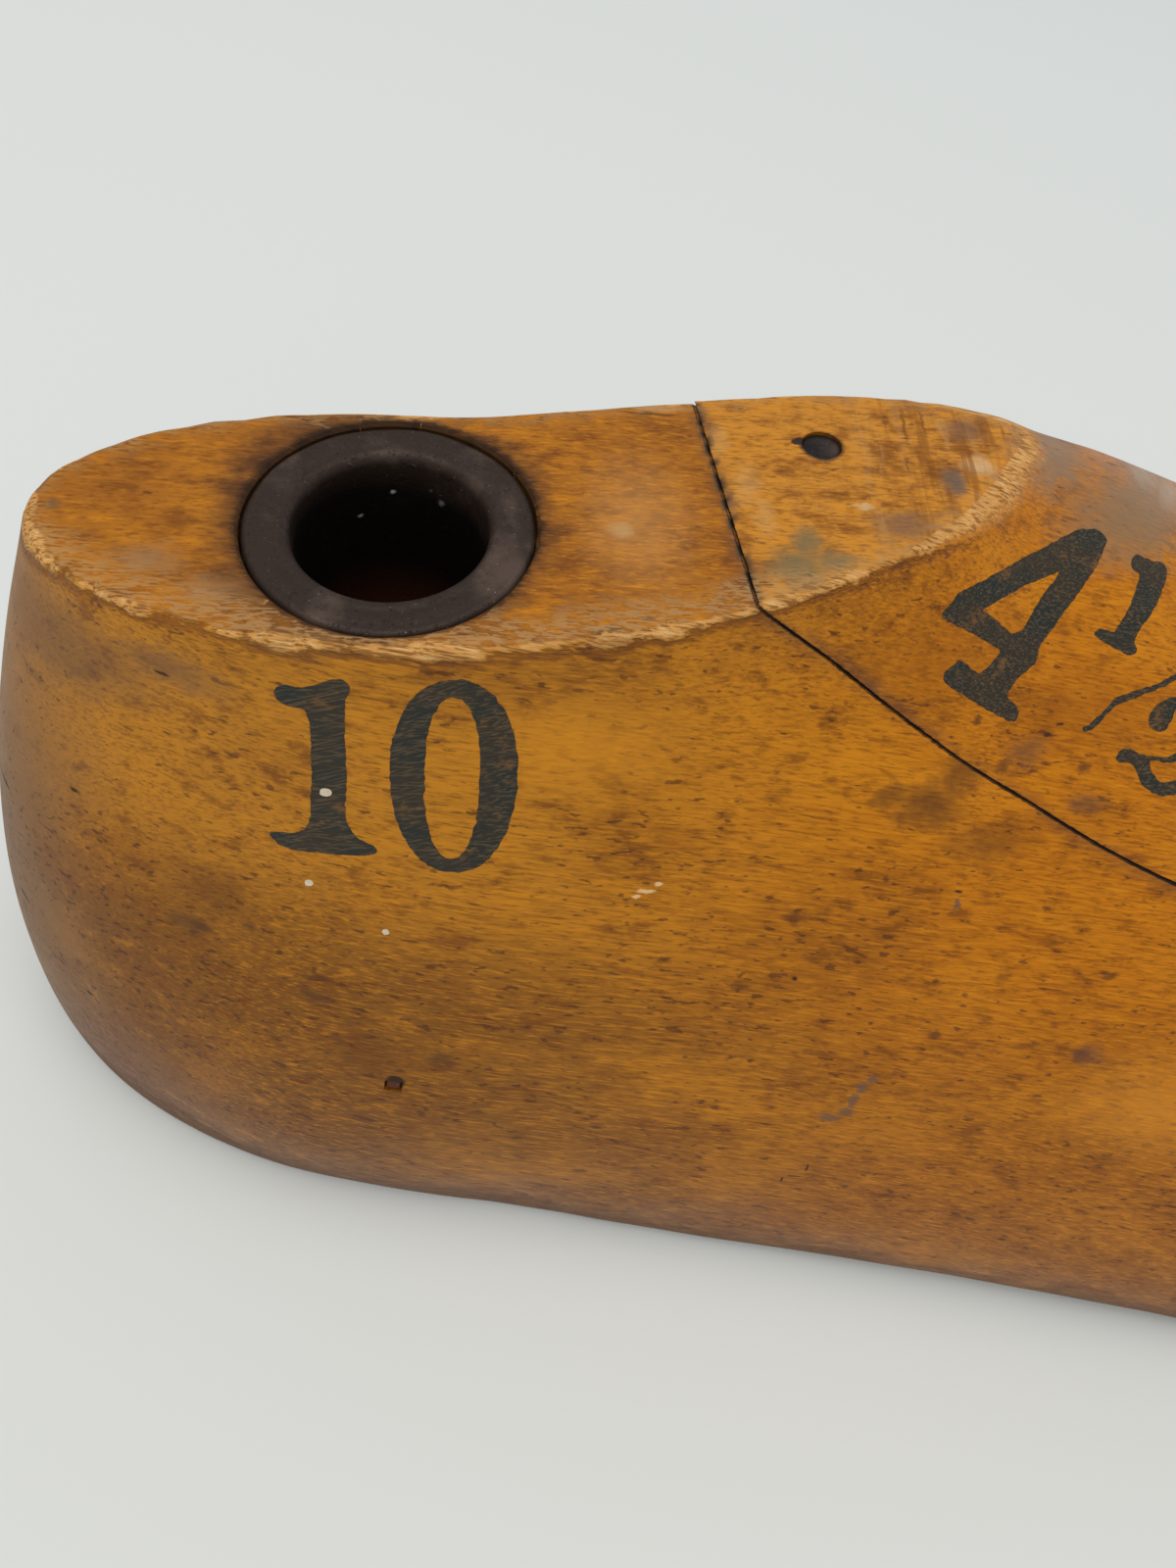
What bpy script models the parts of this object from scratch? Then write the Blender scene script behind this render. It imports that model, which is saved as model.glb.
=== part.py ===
"""A wooden shoe last of the scoop-block kind, for a right foot, standing on its sole.

The body is one piece of maple with a curved saw cut across its instep. The block that fills
the cut lifts off square to the top plate. A steel stud and a wooden dowel in the body locate it,
and a hairpin spring inside the block grips the stud. A flanged steel tube, the thimble, lines
the hole for the jack's pin.
"""

import math

import bmesh
import bpy
import numpy as np
from mathutils import Matrix, Vector

# All lengths are in millimetres until they meet a mesh. X runs from heel to toe, Y to the medial
# side and Z up. A station is a distance along the last; x is measured from the heel's back.
MM = 0.001
last_length = 236.0
origin_x = 120.605
origin_y = -0.92
fit_gap = 0.3

# The top plate: its height over the jack hole, its tilt with the front up, and its outline.
hole_x = 34.0
plate_height = 60.0
plate_tilt = math.radians(7.0)
plate_rear = 22.8
plate_front = 46.6
plate_half_width = 10.7
plate_offset = 0.6
plate_swing = 13.0
plate_end = hole_x + plate_front

# The heel seat is half an ellipse behind its widest station.
seat_tip = 5.0
seat_widest = 44.5
seat_middle = -2.0
seat_half_width = 24.0
seat_spread = {-1: 0.8, 1: 0.0}    # so that the lateral edge runs straight on into the waist
toe_from = {-1: 145.0, 1: 170.0}
toe_middle = 5.0
toe_roundness = 0.56
crest_end = 222.0
ball_end = 180.0
sole_blend = 30.0
bend_run = 5.0

# The scoop is an arc across the instep, skewed a little in plan.
scoop_start = 56.6
scoop_centre = 123.0
scoop_radius = 115.0
scoop_skew = 0.16

# The jack hole and its thimble, all measured from the axis or down from the plate.
hole_y = 0.6
thimble_bore_r = 6.43
thimble_tube_r = 7.95
thimble_flange_r = 9.5
thimble_flange_thick = 1.4
thimble_mouth_r = 1.0
thimble_long = 38.0
jack_hole_deep = 44.0

# The catch: stud, hairpin, its pin, and the guide dowel, placed by station and y.
stud_at = (74.0, 6.0)
stud_head_r, stud_neck_r = 2.6, 1.7
stud_up, stud_down = 8.2, 12.0
spring_pin_at = (65.0, 10.6)
spring_pin_r = 1.2
spring_wire_r = 0.7
spring_depth = 4.4
spring_slope = 0.36
spring_reach = 16.0
dowel_at = (104.0, 9.5)
dowel_r, dowel_up, dowel_down = 3.0, 7.5, 12.0

# The tack's stub: station, side and share of the wall's height, then its size.
tack_at = (37.3, -1, 0.393)
tack_wide, tack_high, tack_long = 1.15, 0.95, 9.0


def curve_through(stations, values, x):
    """A smooth curve through a few stations: cubic pieces, flat at a turning point."""
    s = np.asarray(stations, float)
    v = np.asarray(values, float)
    x = np.asarray(x, float)
    step = np.diff(s)
    rise = np.diff(v) / step
    slope = np.empty_like(v)
    slope[0], slope[-1] = rise[0], rise[-1]
    slope[1:-1] = (rise[:-1] * step[1:] + rise[1:] * step[:-1]) / (step[:-1] + step[1:])
    slope[1:-1][rise[:-1] * rise[1:] <= 0] = 0
    i = np.clip(np.searchsorted(s, x, side="right") - 1, 0, len(s) - 2)
    h = step[i]
    t = np.clip((x - s[i]) / h, 0, 1)
    return (
        (1 + 2 * t) * (1 - t) ** 2 * v[i]
        + t * (1 - t) ** 2 * h * slope[i]
        + t * t * (3 - 2 * t) * v[i + 1]
        + t * t * (t - 1) * h * slope[i + 1]
    )


def soft_through(stations, values, x):
    """The same curve averaged over a short run, so that each of its bends starts softly."""
    x = np.asarray(x, float)
    reach = np.clip(np.minimum(x - stations[0], stations[-1] - x), 0, bend_run)
    steps = ((-1, 1), (-0.5, 2), (0, 3), (0.5, 2), (1, 1))
    return sum(w * curve_through(stations, values, x + reach * u) for u, w in steps) / 9


def ease(low, high, x):
    """0 below low, 1 above high, smooth between."""
    t = np.clip((np.asarray(x, float) - low) / (high - low), 0, 1)
    return t * t * (3 - 2 * t)


# The lines of the last, each a smooth curve over the stations. Half widths are from the
# heel's own line at y = 0 to the feather edge; heights are of the feather edge off the floor.
width_stations = [40, 44.5, 56, 70, 85, 100, 122, 145, 170, 190]
lateral_width = [26.0, 26.0, 27.3, 29.1, 31.0, 33.3, 36.6, 39.0, 38.0, 36.0]
medial_width = [22.0, 22.0, 21.2, 18.8, 16.4, 16.4, 22.4, 31.6, 36.8, 36.0]
lift_stations = [5, 30, 45, 60, 80, 100, 120, 140, 158, 176, 205, 225, 236]
lateral_lift = [0.8, 0.8, 1.0, 1.7, 2.8, 3.6, 3.6, 2.4, 1.2, 1.2, 3.4, 6.8, 9.4]
medial_lift = [0.8, 0.8, 1.6, 3.6, 7.0, 8.6, 7.2, 3.8, 1.2, 1.2, 3.4, 6.8, 9.4]
sole_stations = [5, 32, 60, 80, 105, 135, 156, 180, 205, 225, 236]
sole_rise = [0.0, 0.0, 1.2, 2.9, 4.4, 2.0, 0.0, 0.0, 1.9, 5.4, 8.2]
crest_stations = [58, 66, 70, 74.6, 80.6, 86, 92, 105, 120, 140, 160, 180, 200, 222]
crest_across = [7.5, 9.3, 10.6, 12.1, 13.6, 14.5, 15.2, 15.8, 15.4, 13.6, 11.2, 8.8, 6.6, 5.0]
crest_drop = [10.5, 9.7, 8.5, 5.2, 0.0, -0.8, -2.1, -5.9, -11.9, -20.4, -27.6, -33.2, -37.4, -42.4]

# The walls' handles: how far a wall swells out over the feather edge and at what share of its
# height, how steeply and how far it runs down from the plate's rim, and in front of the jack
# hole how far its upper handle lies out from the plate's middle line or crest, and under it.
swell_stations = [5, 20, 34, 60, 90, 130, 180, 236]
lateral_swell = [2.8, 4.3, 5.4, 4.4, 4.4, 3.5, 3.0, 4.0]
medial_swell = [2.8, 4.2, 4.8, 2.6, 0.5, 1.5, 3.0, 4.0]
share_stations = [5, 34, 80, 120, 180, 236]
swell_share = [0.46, 0.38, 0.42, 0.52, 0.60, 0.62]
neck_stations = [5, 20, 40, 60, 80]
lateral_neck = [73.6, 79.7, 76, 70, 66]
medial_neck = [73.6, 80, 80, 80, 80]
hand_stations = [5, 34, 60, 80]
hand_long = [14.3, 25.4, 18.0, 15.0]
neck_to_ridge = (57.0, 77.0)
over_stations = [58, 70, 80.6, 92, 105, 120, 150, 180, 236]
lateral_over = [11, 5.5, 10.2, 10.8, 12.3, 17, 20, 20, 8]
medial_over = [11, 10.5, 10.8, 6, 7, 10, 16, 18, 8]
under_stations = [58, 66, 74.6, 84, 92]
lateral_under = [8.0, 6.0, 3.2, 0.0, 0.0]
medial_under = [8.0, 6.0, 2.8, 0.0, 0.0]


def skew(station):
    """How far a section plane leans out of square, as a slope in plan."""
    return scoop_skew * ease(28, 52, station) * (1 - ease(150, 205, station))


def plate_z(x):
    return plate_height + (x - hole_x) * math.tan(plate_tilt)


def scoop_z(station, x, radius):
    """Height of the scoop's arc, laid out from the plate so that it meets the plate squarely."""
    top = plate_z(scoop_start) + math.sqrt(scoop_radius**2 - (scoop_centre - scoop_start) ** 2)
    arc = top - np.sqrt(radius**2 - (station - scoop_centre) ** 2)
    return arc + plate_z(x) - plate_z(station)


def feather_y(station, side):
    """The feather edge in plan: an elliptical heel, a spline along the waist, a rounded toe."""
    width = lateral_width if side < 0 else medial_width
    y = curve_through(width_stations, width, station)
    back = np.clip((seat_widest - station) / (seat_widest - seat_tip), 0, 1)
    y = np.where(station < seat_widest, side * seat_middle + seat_half_width * np.sqrt(1 - back**2), y)
    y = y + seat_spread[side] * ease(34, 50, station) * (1 - ease(60, 120, station))
    start = toe_from[side]
    front = np.clip((station - start) / (last_length - start), 0, 1)
    widest = width[width_stations.index(start)]
    toe = side * toe_middle + (widest - side * toe_middle) * (1 - front**2.3) ** toe_roundness
    return side * np.where(station > start, toe, y)


def crest_line(station):
    """The crest's y and height. It meets the plate's front end, and behind that it is the edge
    that the ridge had before the plate was cut."""
    y = soft_through(crest_stations, crest_across, station)
    front_y = float(soft_through(crest_stations, crest_across, plate_end))
    level = float(plate_z(plate_end - skew(plate_end) * front_y))
    drop = soft_through(crest_stations, crest_drop, np.append(station, plate_end))
    return y, level + (drop[:-1] - drop[-1]).reshape(np.shape(station))


def plate_outline(station):
    """The plate's middle line and half width: its rear end is elliptical, its front drawn in."""
    r = station - hole_x
    middle = plate_offset + plate_swing * np.clip(r / plate_front, 0, 1) ** 1.6
    rear = 1 - np.clip(-r / plate_rear, 0, 1) ** 2
    fore = 1 - np.clip(r / plate_front, 0, 1) ** 2.8
    return middle, plate_half_width * np.sqrt(np.where(r < 0, rear, fore))


def bezier(points, t):
    """Points at t on each section's cubic Bezier."""
    a, b, c, d = (p[:, None] for p in points)
    return (1 - t) ** 3 * a + 3 * (1 - t) ** 2 * t * b + 3 * (1 - t) * t**2 * c + t**3 * d


def first_rise(points, ceiling):
    """The t at which each section's Bezier first rises above ceiling(points), or 1."""
    t = 1 - (1 - np.linspace(0, 1, 401)) ** 2
    curve = bezier(points, t[None, :, None])
    above = curve[..., 2] - ceiling(curve)
    hit = np.ones(len(above))
    for i, row in enumerate(above):
        k = int(np.argmax(row > 0))
        if k:
            hit[i] = t[k - 1] - row[k - 1] * (t[k] - t[k - 1]) / (row[k] - row[k - 1])
    return hit


def shortened(points, share):
    """The stretch of each Bezier from t = 0 to t = share, as a Bezier of its own."""
    a, b, c, d = points
    s = share[:, None]
    ab, bc, cd = a + (b - a) * s, b + (c - b) * s, c + (d - c) * s
    abc, bcd = ab + (bc - ab) * s, bc + (cd - bc) * s
    return a, ab, abc, abc + (bcd - abc) * s


def wall_curves(station, side):
    """The wall in each section, from the feather edge up to the plate's rim or the crest.

    Behind the front of the plate the wall ends in the rim with a steep upper handle. In front it
    runs over a crest, and where the crest stands above the plate it is cut off level with it.
    """
    station = np.asarray(station, float)
    rear_shift = hole_x - plate_rear - seat_tip
    behind = np.clip(seat_widest - station, 0, None) / (seat_widest - seat_tip)
    toe_share = (crest_end - 200) / (last_length - 200)
    top = np.where(station > 200, 200 + (station - 200) * toe_share, station + rear_shift * behind**2)
    up = np.array([0.0, 0.0, 1.0])

    foot_y = feather_y(station, side)
    foot_z = curve_through(lift_stations, lateral_lift if side < 0 else medial_lift, station)
    foot = np.stack([station - skew(station) * foot_y, foot_y, foot_z], -1)
    swell = soft_through(swell_stations, lateral_swell if side < 0 else medial_swell, station)
    share = soft_through(share_stations, swell_share, station)

    def curve_to(head, over, under):
        out = (foot - head) * (1, 1, 0)
        out /= np.linalg.norm(out, axis=-1)[:, None]
        low = foot + out * swell[:, None] + up * ((head[:, 2] - foot_z) * share)[:, None]
        return foot, low, head + out * over[:, None] - up * under[:, None], head

    middle, half = plate_outline(np.minimum(top, plate_end))
    rim_y = middle + side * half
    rim_x = top - skew(top) * rim_y
    neck = np.radians(soft_through(neck_stations, lateral_neck if side < 0 else medial_neck, station))
    hand = soft_through(hand_stations, hand_long, station)
    rear = curve_to(np.stack([rim_x, rim_y, plate_z(rim_x)], -1), hand * np.cos(neck), hand * np.sin(neck))

    crest_y, crest_z = crest_line(top)
    over = soft_through(over_stations, lateral_over if side < 0 else medial_over, station)
    under = soft_through(under_stations, lateral_under if side < 0 else medial_under, station)
    ridge = curve_to(np.stack([top - skew(top) * crest_y, crest_y, crest_z], -1), over, under)
    level = first_rise(ridge, lambda p: np.where(top[:, None] < plate_end, plate_z(p[..., 0]), 1e3))
    fore = shortened(ridge, level)
    mix = ease(*neck_to_ridge, station)[:, None]
    return [r + (f - r) * mix for r, f in zip(rear, fore)]


def wall(station, side, t):
    """Points of the side wall at t, from 0 at the feather edge to 1 at the rim or the crest."""
    t = np.broadcast_to(np.asarray(t, float), (len(station), np.shape(t)[-1]))[..., None]
    return bezier(wall_curves(station, side), t)


def cut_share(station, side, radius):
    """The t at which each section's wall meets the scoop."""
    return first_rise(wall_curves(station, side), lambda p: scoop_z(station[:, None], p[..., 0], radius))


def meeting_station(low, high, gap):
    """The station between low and high where gap(station) changes sign, by halving."""
    for _ in range(40):
        middle = (low + high) / 2
        if (gap(middle) > 0) == (gap(low) > 0):
            low = middle
        else:
            high = middle
    return (low + high) / 2


def scoop_ends(radius):
    """The stations where the arc meets the plate and where it comes out of the crest."""
    start = meeting_station(50.0, 70.0, lambda s: plate_z(s) - float(scoop_z(s, s, radius)))

    def over_crest(s):
        y, z = crest_line(s)
        return float(z - scoop_z(s, s - skew(s) * y, radius))

    return start, meeting_station(120.0, 150.0, over_crest)


def eased_run(low, high, count, at_low=False, at_high=False):
    """Stations from low to high, gathered towards the ends that are named."""
    u = np.linspace(0, 1, count)
    if at_low and at_high:
        u = (1 - np.cos(math.pi * u)) / 2
    elif at_low:
        u = 1 - np.cos(math.pi * u / 2)
    elif at_high:
        u = np.sin(math.pi * u / 2)
    return low + (high - low) * u


def across(left, right, count):
    """Straight rows of points from left to right: (n, count, 3)."""
    v = np.linspace(0, 1, count)[None, :, None]
    return left[:, None] * (1 - v) + right[:, None] * v


def sole(station, count):
    """The sole between the feather edges: flat in its middle half, turned up to the edges."""
    left, right = wall(station, -1, [0.0])[:, 0], wall(station, 1, [0.0])[:, 0]
    rows = across(left, right, count)
    s = np.abs(np.linspace(-1, 1, count))
    crown = np.clip((1 - s**4) / (1 - 0.5**4), 0, 1)
    width = np.linalg.norm(right - left, axis=-1)
    crown = crown * ease(0, sole_blend, width)[:, None]
    middle = curve_through(sole_stations, sole_rise, station)[:, None]
    rows[..., 2] = rows[..., 2] * (1 - crown) + middle * crown
    return rows


def scoop_rows(left, right, station, radius, count):
    rows = across(left, right, count)
    rows[..., 2] = scoop_z(station[:, None], rows[..., 0], radius)
    return rows


def to_row(points):
    """Millimetres of the layout to metres of the row's frame."""
    return (np.asarray(points, float) - (origin_x, origin_y, 0)) * MM


def add_patch(bm, rows):
    """A grid of quads over rows of points."""
    verts = [[bm.verts.new(p) for p in line] for line in to_row(rows)]
    for a, b in zip(verts, verts[1:]):
        for j in range(len(a) - 1):
            bm.faces.new((a[j], b[j], b[j + 1], a[j + 1]))


def finish_mesh(bm, name, material, smooth_angle=40.0):
    """Welds the patches, faces them outwards and makes the object."""
    bmesh.ops.remove_doubles(bm, verts=bm.verts, dist=2e-6)
    bmesh.ops.dissolve_degenerate(bm, edges=bm.edges, dist=1e-7)
    bmesh.ops.recalc_face_normals(bm, faces=bm.faces)
    mesh = bpy.data.meshes.new(name)
    bm.to_mesh(mesh)
    bm.free()
    mesh.shade_smooth()
    mesh.set_sharp_from_angle(angle=math.radians(smooth_angle))
    obj = bpy.data.objects.new(name, mesh)
    bpy.context.scene.collection.objects.link(obj)
    if material:
        mesh.materials.append(material)
    return obj


def make_material(name, colour, roughness, metallic=0.0):
    material = bpy.data.materials.new(name)
    material.use_nodes = True
    shader = material.node_tree.nodes["Principled BSDF"]
    shader.inputs["Base Color"].default_value = (*colour, 1.0)
    shader.inputs["Roughness"].default_value = roughness
    shader.inputs["Metallic"].default_value = metallic
    return material


def make_body(material):
    wall_rows, cross_rows = 13, 9
    start, end = scoop_ends(scoop_radius)
    heel = seat_widest - (seat_widest - seat_tip) * np.cos(np.linspace(0, math.pi / 2, 13))
    rear = np.concatenate([heel, np.linspace(seat_widest, start, 5)[1:]])
    scoop = eased_run(start, end, 19, at_high=True)
    ball = np.linspace(end, ball_end, 9)
    fore = np.concatenate([ball, eased_run(ball_end, last_length, 13, at_high=True)[1:]])

    bm = bmesh.new()
    t = np.linspace(0, 1, wall_rows)
    rims = {}
    for side in (-1, 1):
        rims[side] = wall(rear, side, [1.0])[:, 0]
        add_patch(bm, wall(rear, side, t))
        share = cut_share(scoop, side, scoop_radius)
        share[0] = share[-1] = 1.0
        lips = wall(scoop, side, share[:, None] * t)
        lips[1:-1, -1, 2] = scoop_z(scoop, lips[:, -1, 0], scoop_radius)[1:-1]
        add_patch(bm, lips)
        rims[side, "scoop"] = lips[:, -1]
        add_patch(bm, wall(fore, side, t))
    add_patch(bm, across(rims[-1], rims[1], cross_rows))
    floor = scoop_rows(rims[-1, "scoop"], rims[1, "scoop"], scoop, scoop_radius, cross_rows)
    floor[0] = across(rims[-1, "scoop"][:1], rims[1, "scoop"][:1], cross_rows)[0]
    floor[-1] = rims[1, "scoop"][-1]
    add_patch(bm, floor)
    add_patch(bm, sole(np.concatenate([rear, scoop[1:], fore[1:]]), cross_rows))
    return finish_mesh(bm, "last_body", material)


def make_block(material):
    wall_rows, cross_rows = 9, 9
    radius = scoop_radius - fit_gap
    start, end = scoop_ends(radius)
    plate = eased_run(start, plate_end, 11, at_high=True)
    crest = eased_run(plate_end, end, 13, at_high=True)
    station = np.concatenate([plate, crest[1:]])

    bm = bmesh.new()
    t = np.linspace(0, 1, wall_rows)
    rims, lips = {}, {}
    for side in (-1, 1):
        share = cut_share(station, side, radius)
        share[0] = share[-1] = 1.0
        rows = wall(station, side, share[:, None] + (1 - share[:, None]) * t)
        rows[1:-1, 0, 2] = scoop_z(station, rows[:, 0, 0], radius)[1:-1]
        add_patch(bm, rows)
        rims[side], lips[side] = rows[: len(plate), -1], rows[:, 0]
    add_patch(bm, across(rims[-1], rims[1], cross_rows))
    under = scoop_rows(lips[-1], lips[1], station, radius, cross_rows)
    under[0] = across(lips[-1][:1], lips[1][:1], cross_rows)[0]
    under[-1] = lips[1][-1]
    add_patch(bm, under)
    return finish_mesh(bm, "instep_block", material)


def plate_frame(station, y, depth=0.0):
    """A place under the plate at this station and y, with its Z square to the plate."""
    x = station - float(skew(station)) * y
    place = Vector(to_row((x, y, plate_z(x))))
    turn = Matrix.Rotation(-plate_tilt, 4, "Y")
    return Matrix.Translation(place) @ turn @ Matrix.Translation((0, 0, -depth * MM))


def turned(name, profile, place, material=None, segments=32):
    """A solid of revolution from (radius, height) pairs that start and end on the axis, or that
    close on themselves where the piece is a tube."""
    bm = bmesh.new()
    verts = [bm.verts.new((r * MM, 0, h * MM)) for r, h in profile]
    pairs = list(zip(verts, verts[1:]))
    if profile[0][0] > 0:
        pairs.append((verts[-1], verts[0]))
    edges = [bm.edges.new(pair) for pair in pairs]
    turn = dict(cent=(0, 0, 0), axis=(0, 0, 1), angle=2 * math.pi, steps=segments)
    bmesh.ops.spin(bm, geom=verts + edges, use_merge=True, **turn)
    obj = finish_mesh(bm, name, material)
    obj.matrix_world = place
    return obj


def rod(name, r, top, bottom, place, material=None, segments=20):
    return turned(name, [(0, bottom), (r, bottom), (r, top), (0, top)], place, material, segments)


def hide_as_cutter(obj):
    obj.hide_render = True
    obj.display_type = "WIRE"
    return obj


def cut(target, cutter):
    modifier = target.modifiers.new("cut_" + cutter.name, "BOOLEAN")
    modifier.operation = "DIFFERENCE"
    modifier.solver = "EXACT"
    modifier.object = hide_as_cutter(cutter)


def make_thimble(body, steel):
    """The flanged tube, flush in the plate, its mouth rounded into the bore."""
    place = plate_frame(hole_x, hole_y)
    lip = [(math.cos(a), math.sin(a)) for a in np.linspace(math.pi / 2, math.pi, 7)]
    mouth = [(thimble_bore_r + thimble_mouth_r * (1 + c), thimble_mouth_r * (s - 1)) for c, s in lip]
    profile = [
        (thimble_flange_r, -thimble_flange_thick),
        (thimble_flange_r, -0.35),
        (thimble_flange_r - 0.35, 0.0),
        *mouth,
        (thimble_bore_r, -thimble_long),
        (thimble_tube_r, -thimble_long),
        (thimble_tube_r, -thimble_flange_thick),
    ]
    thimble = turned("thimble", profile, place, steel, 40)
    seat_r, tube_r = thimble_flange_r + fit_gap, thimble_tube_r + fit_gap
    hole = [
        (0, -jack_hole_deep),
        (thimble_bore_r, -jack_hole_deep),
        (thimble_bore_r, -thimble_long - fit_gap),
        (tube_r, -thimble_long - fit_gap),
        (tube_r, -thimble_flange_thick - fit_gap),
        (seat_r, -thimble_flange_thick - fit_gap),
        (seat_r, 2.0),
        (0, 2.0),
    ]
    cut(body, turned("jack_hole_cutter", hole, place, segments=40))
    return thimble


def wall_frame(station, side, t):
    """A place on the side wall, with its Z pointing out of the wood and its Y up the wall."""
    step = 0.01
    here = wall([station], side, [t, t + step])[0]
    ahead = wall([station + 1.0], side, [t])[0, 0]
    up = Vector(here[1] - here[0]).normalized()
    along = Vector(ahead - here[0])
    out = (along.cross(up) * -side).normalized()
    turn = Matrix((up.cross(out), up, out)).transposed().to_4x4()
    return Matrix.Translation(Vector(to_row(here[0]))) @ turn


def square_taper(name, sections, place, material=None):
    """A four-sided piece through (half width, half height, level) sections along its Z."""
    bm = bmesh.new()
    rings = []
    for a, b, level in sections:
        corners = [(-a, -b), (a, -b), (a, b), (-a, b)]
        rings.append([bm.verts.new((x * MM, y * MM, level * MM)) for x, y in corners])
    for low, high in zip(rings, rings[1:]):
        for k in range(4):
            bm.faces.new((low[k], low[(k + 1) % 4], high[(k + 1) % 4], high[k]))
    bm.faces.new(rings[0])
    bm.faces.new(rings[-1])
    obj = finish_mesh(bm, name, material)
    obj.matrix_world = place
    return obj


def make_tack_stub(body, steel):
    """The shank of a lasting tack, broken off just under the surface of the heel's lateral side."""
    place = wall_frame(*tack_at)
    wide, high = tack_wide / 2, tack_high / 2
    sunk = 0.15
    sections = [(0.2, 0.15, -tack_long), (wide, high, -tack_long * 0.55), (wide, high, -sunk)]
    stub = square_taper("tack_stub", sections, place, steel)
    room = [(wide + fit_gap, high + fit_gap, -tack_long - fit_gap), (wide + fit_gap, high + fit_gap, 1.5)]
    cut(body, square_taper("tack_hole_cutter", room, place))
    return stub


def floor_depth(at, radius=scoop_radius):
    """How far below the plate the scoop lies here, measured square to the plate."""
    station, y = at
    x = station - float(skew(station)) * y
    return (plate_z(x) - float(scoop_z(station, x, radius))) * math.cos(plate_tilt)


def make_catch(body, block, steel):
    """The stud in the body, and the hairpin and its pin in the block."""
    floor = floor_depth(stud_at)
    place = plate_frame(*stud_at, depth=floor)
    head_low = stud_up - 1.8
    profile = [
        (0, -stud_down),
        (stud_neck_r, -stud_down),
        (stud_neck_r, head_low - 0.5),
        (stud_head_r, head_low),
        (stud_head_r, stud_up - 0.7),
        (stud_head_r - 0.9, stud_up),
        (0, stud_up),
    ]
    stud = turned("block_stud", profile, place, steel, 20)
    cut(body, rod("stud_hole_cutter", stud_neck_r + fit_gap, 8.0, -stud_down - fit_gap, place))
    cut(block, rod("stud_room_cutter", stud_head_r + 0.5, stud_up + 0.8, -8.0, place))

    # The hairpin's line runs from its pin towards the stud, and slopes with the scoop.
    pin = plate_frame(*spring_pin_at)
    toward = plate_frame(*stud_at).translation - pin.translation
    heading = math.atan2(toward.y, toward.x)
    lie = Matrix.Translation(pin @ Vector((0, 0, -spring_depth * MM)))
    lie = lie @ Matrix.Rotation(heading, 4, "Z")
    lie = lie @ Matrix.Rotation(math.atan(spring_slope) - plate_tilt, 4, "Y")
    bend_r = spring_pin_r + fit_gap + spring_wire_r
    spread = stud_head_r + fit_gap + spring_wire_r
    leg = [
        (spring_reach * u, bend_r + (spread - bend_r) * float(ease(0, 0.6, u)))
        for u in np.linspace(1, 0.08, 9)
    ]
    bend = [(-bend_r * math.sin(a), bend_r * math.cos(a)) for a in np.linspace(0, math.pi, 11)]
    path = leg + bend + [(x, -y) for x, y in reversed(leg)]

    curve = bpy.data.curves.new("catch_spring", "CURVE")
    curve.dimensions = "3D"
    curve.bevel_depth = spring_wire_r * MM
    curve.bevel_resolution = 2
    curve.use_fill_caps = True
    spline = curve.splines.new("POLY")
    spline.points.add(len(path) - 1)
    for point, (x, y) in zip(spline.points, path):
        point.co = (x * MM, y * MM, 0, 1)
    curve.materials.append(steel)
    spring = bpy.data.objects.new("catch_spring", curve)
    bpy.context.scene.collection.objects.link(spring)
    spring.matrix_world = lie

    # The slot it lies in is routed from the block's underside, narrow at the pin.
    near, far = bend_r + 1.1, spread + 1.3
    ceiling, below = 1.1, -14.0
    back, front = -near - 0.2, spring_reach + 1.2
    outline = [(back, -near), (front, -far), (front, far), (back, near)]
    bm = bmesh.new()
    face = bm.faces.new([bm.verts.new((x * MM, y * MM, ceiling * MM)) for x, y in outline])
    grown = bmesh.ops.extrude_face_region(bm, geom=[face])["geom"]
    for v in grown:
        if isinstance(v, bmesh.types.BMVert):
            v.co.z = below * MM
    slot = finish_mesh(bm, "spring_slot_cutter", None)
    slot.matrix_world = lie
    cut(block, slot)

    pin_long = spring_depth + 1.2
    spring_pin = rod("spring_pin", spring_pin_r, 0.0, -pin_long, pin, steel)
    cut(block, rod("pin_hole_cutter", spring_pin_r + fit_gap, 2.0, -pin_long - 3.0, pin))
    return stud, spring, spring_pin


def make_dowel(body, block, wood):
    """The guide dowel, set in the body and a running fit in the block."""
    place = plate_frame(*dowel_at, depth=floor_depth(dowel_at))
    chamfer = 0.8
    profile = [
        (0, -dowel_down),
        (dowel_r, -dowel_down),
        (dowel_r, dowel_up - chamfer),
        (dowel_r - chamfer, dowel_up),
        (0, dowel_up),
    ]
    dowel = turned("guide_dowel", profile, place, wood, 24)
    cut(body, rod("dowel_hole_cutter", dowel_r + fit_gap, 6.0, -dowel_down - fit_gap, place, segments=24))
    cut(block, rod("dowel_room_cutter", dowel_r + fit_gap, dowel_up + 0.8, -6.0, place, segments=24))
    return dowel


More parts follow.
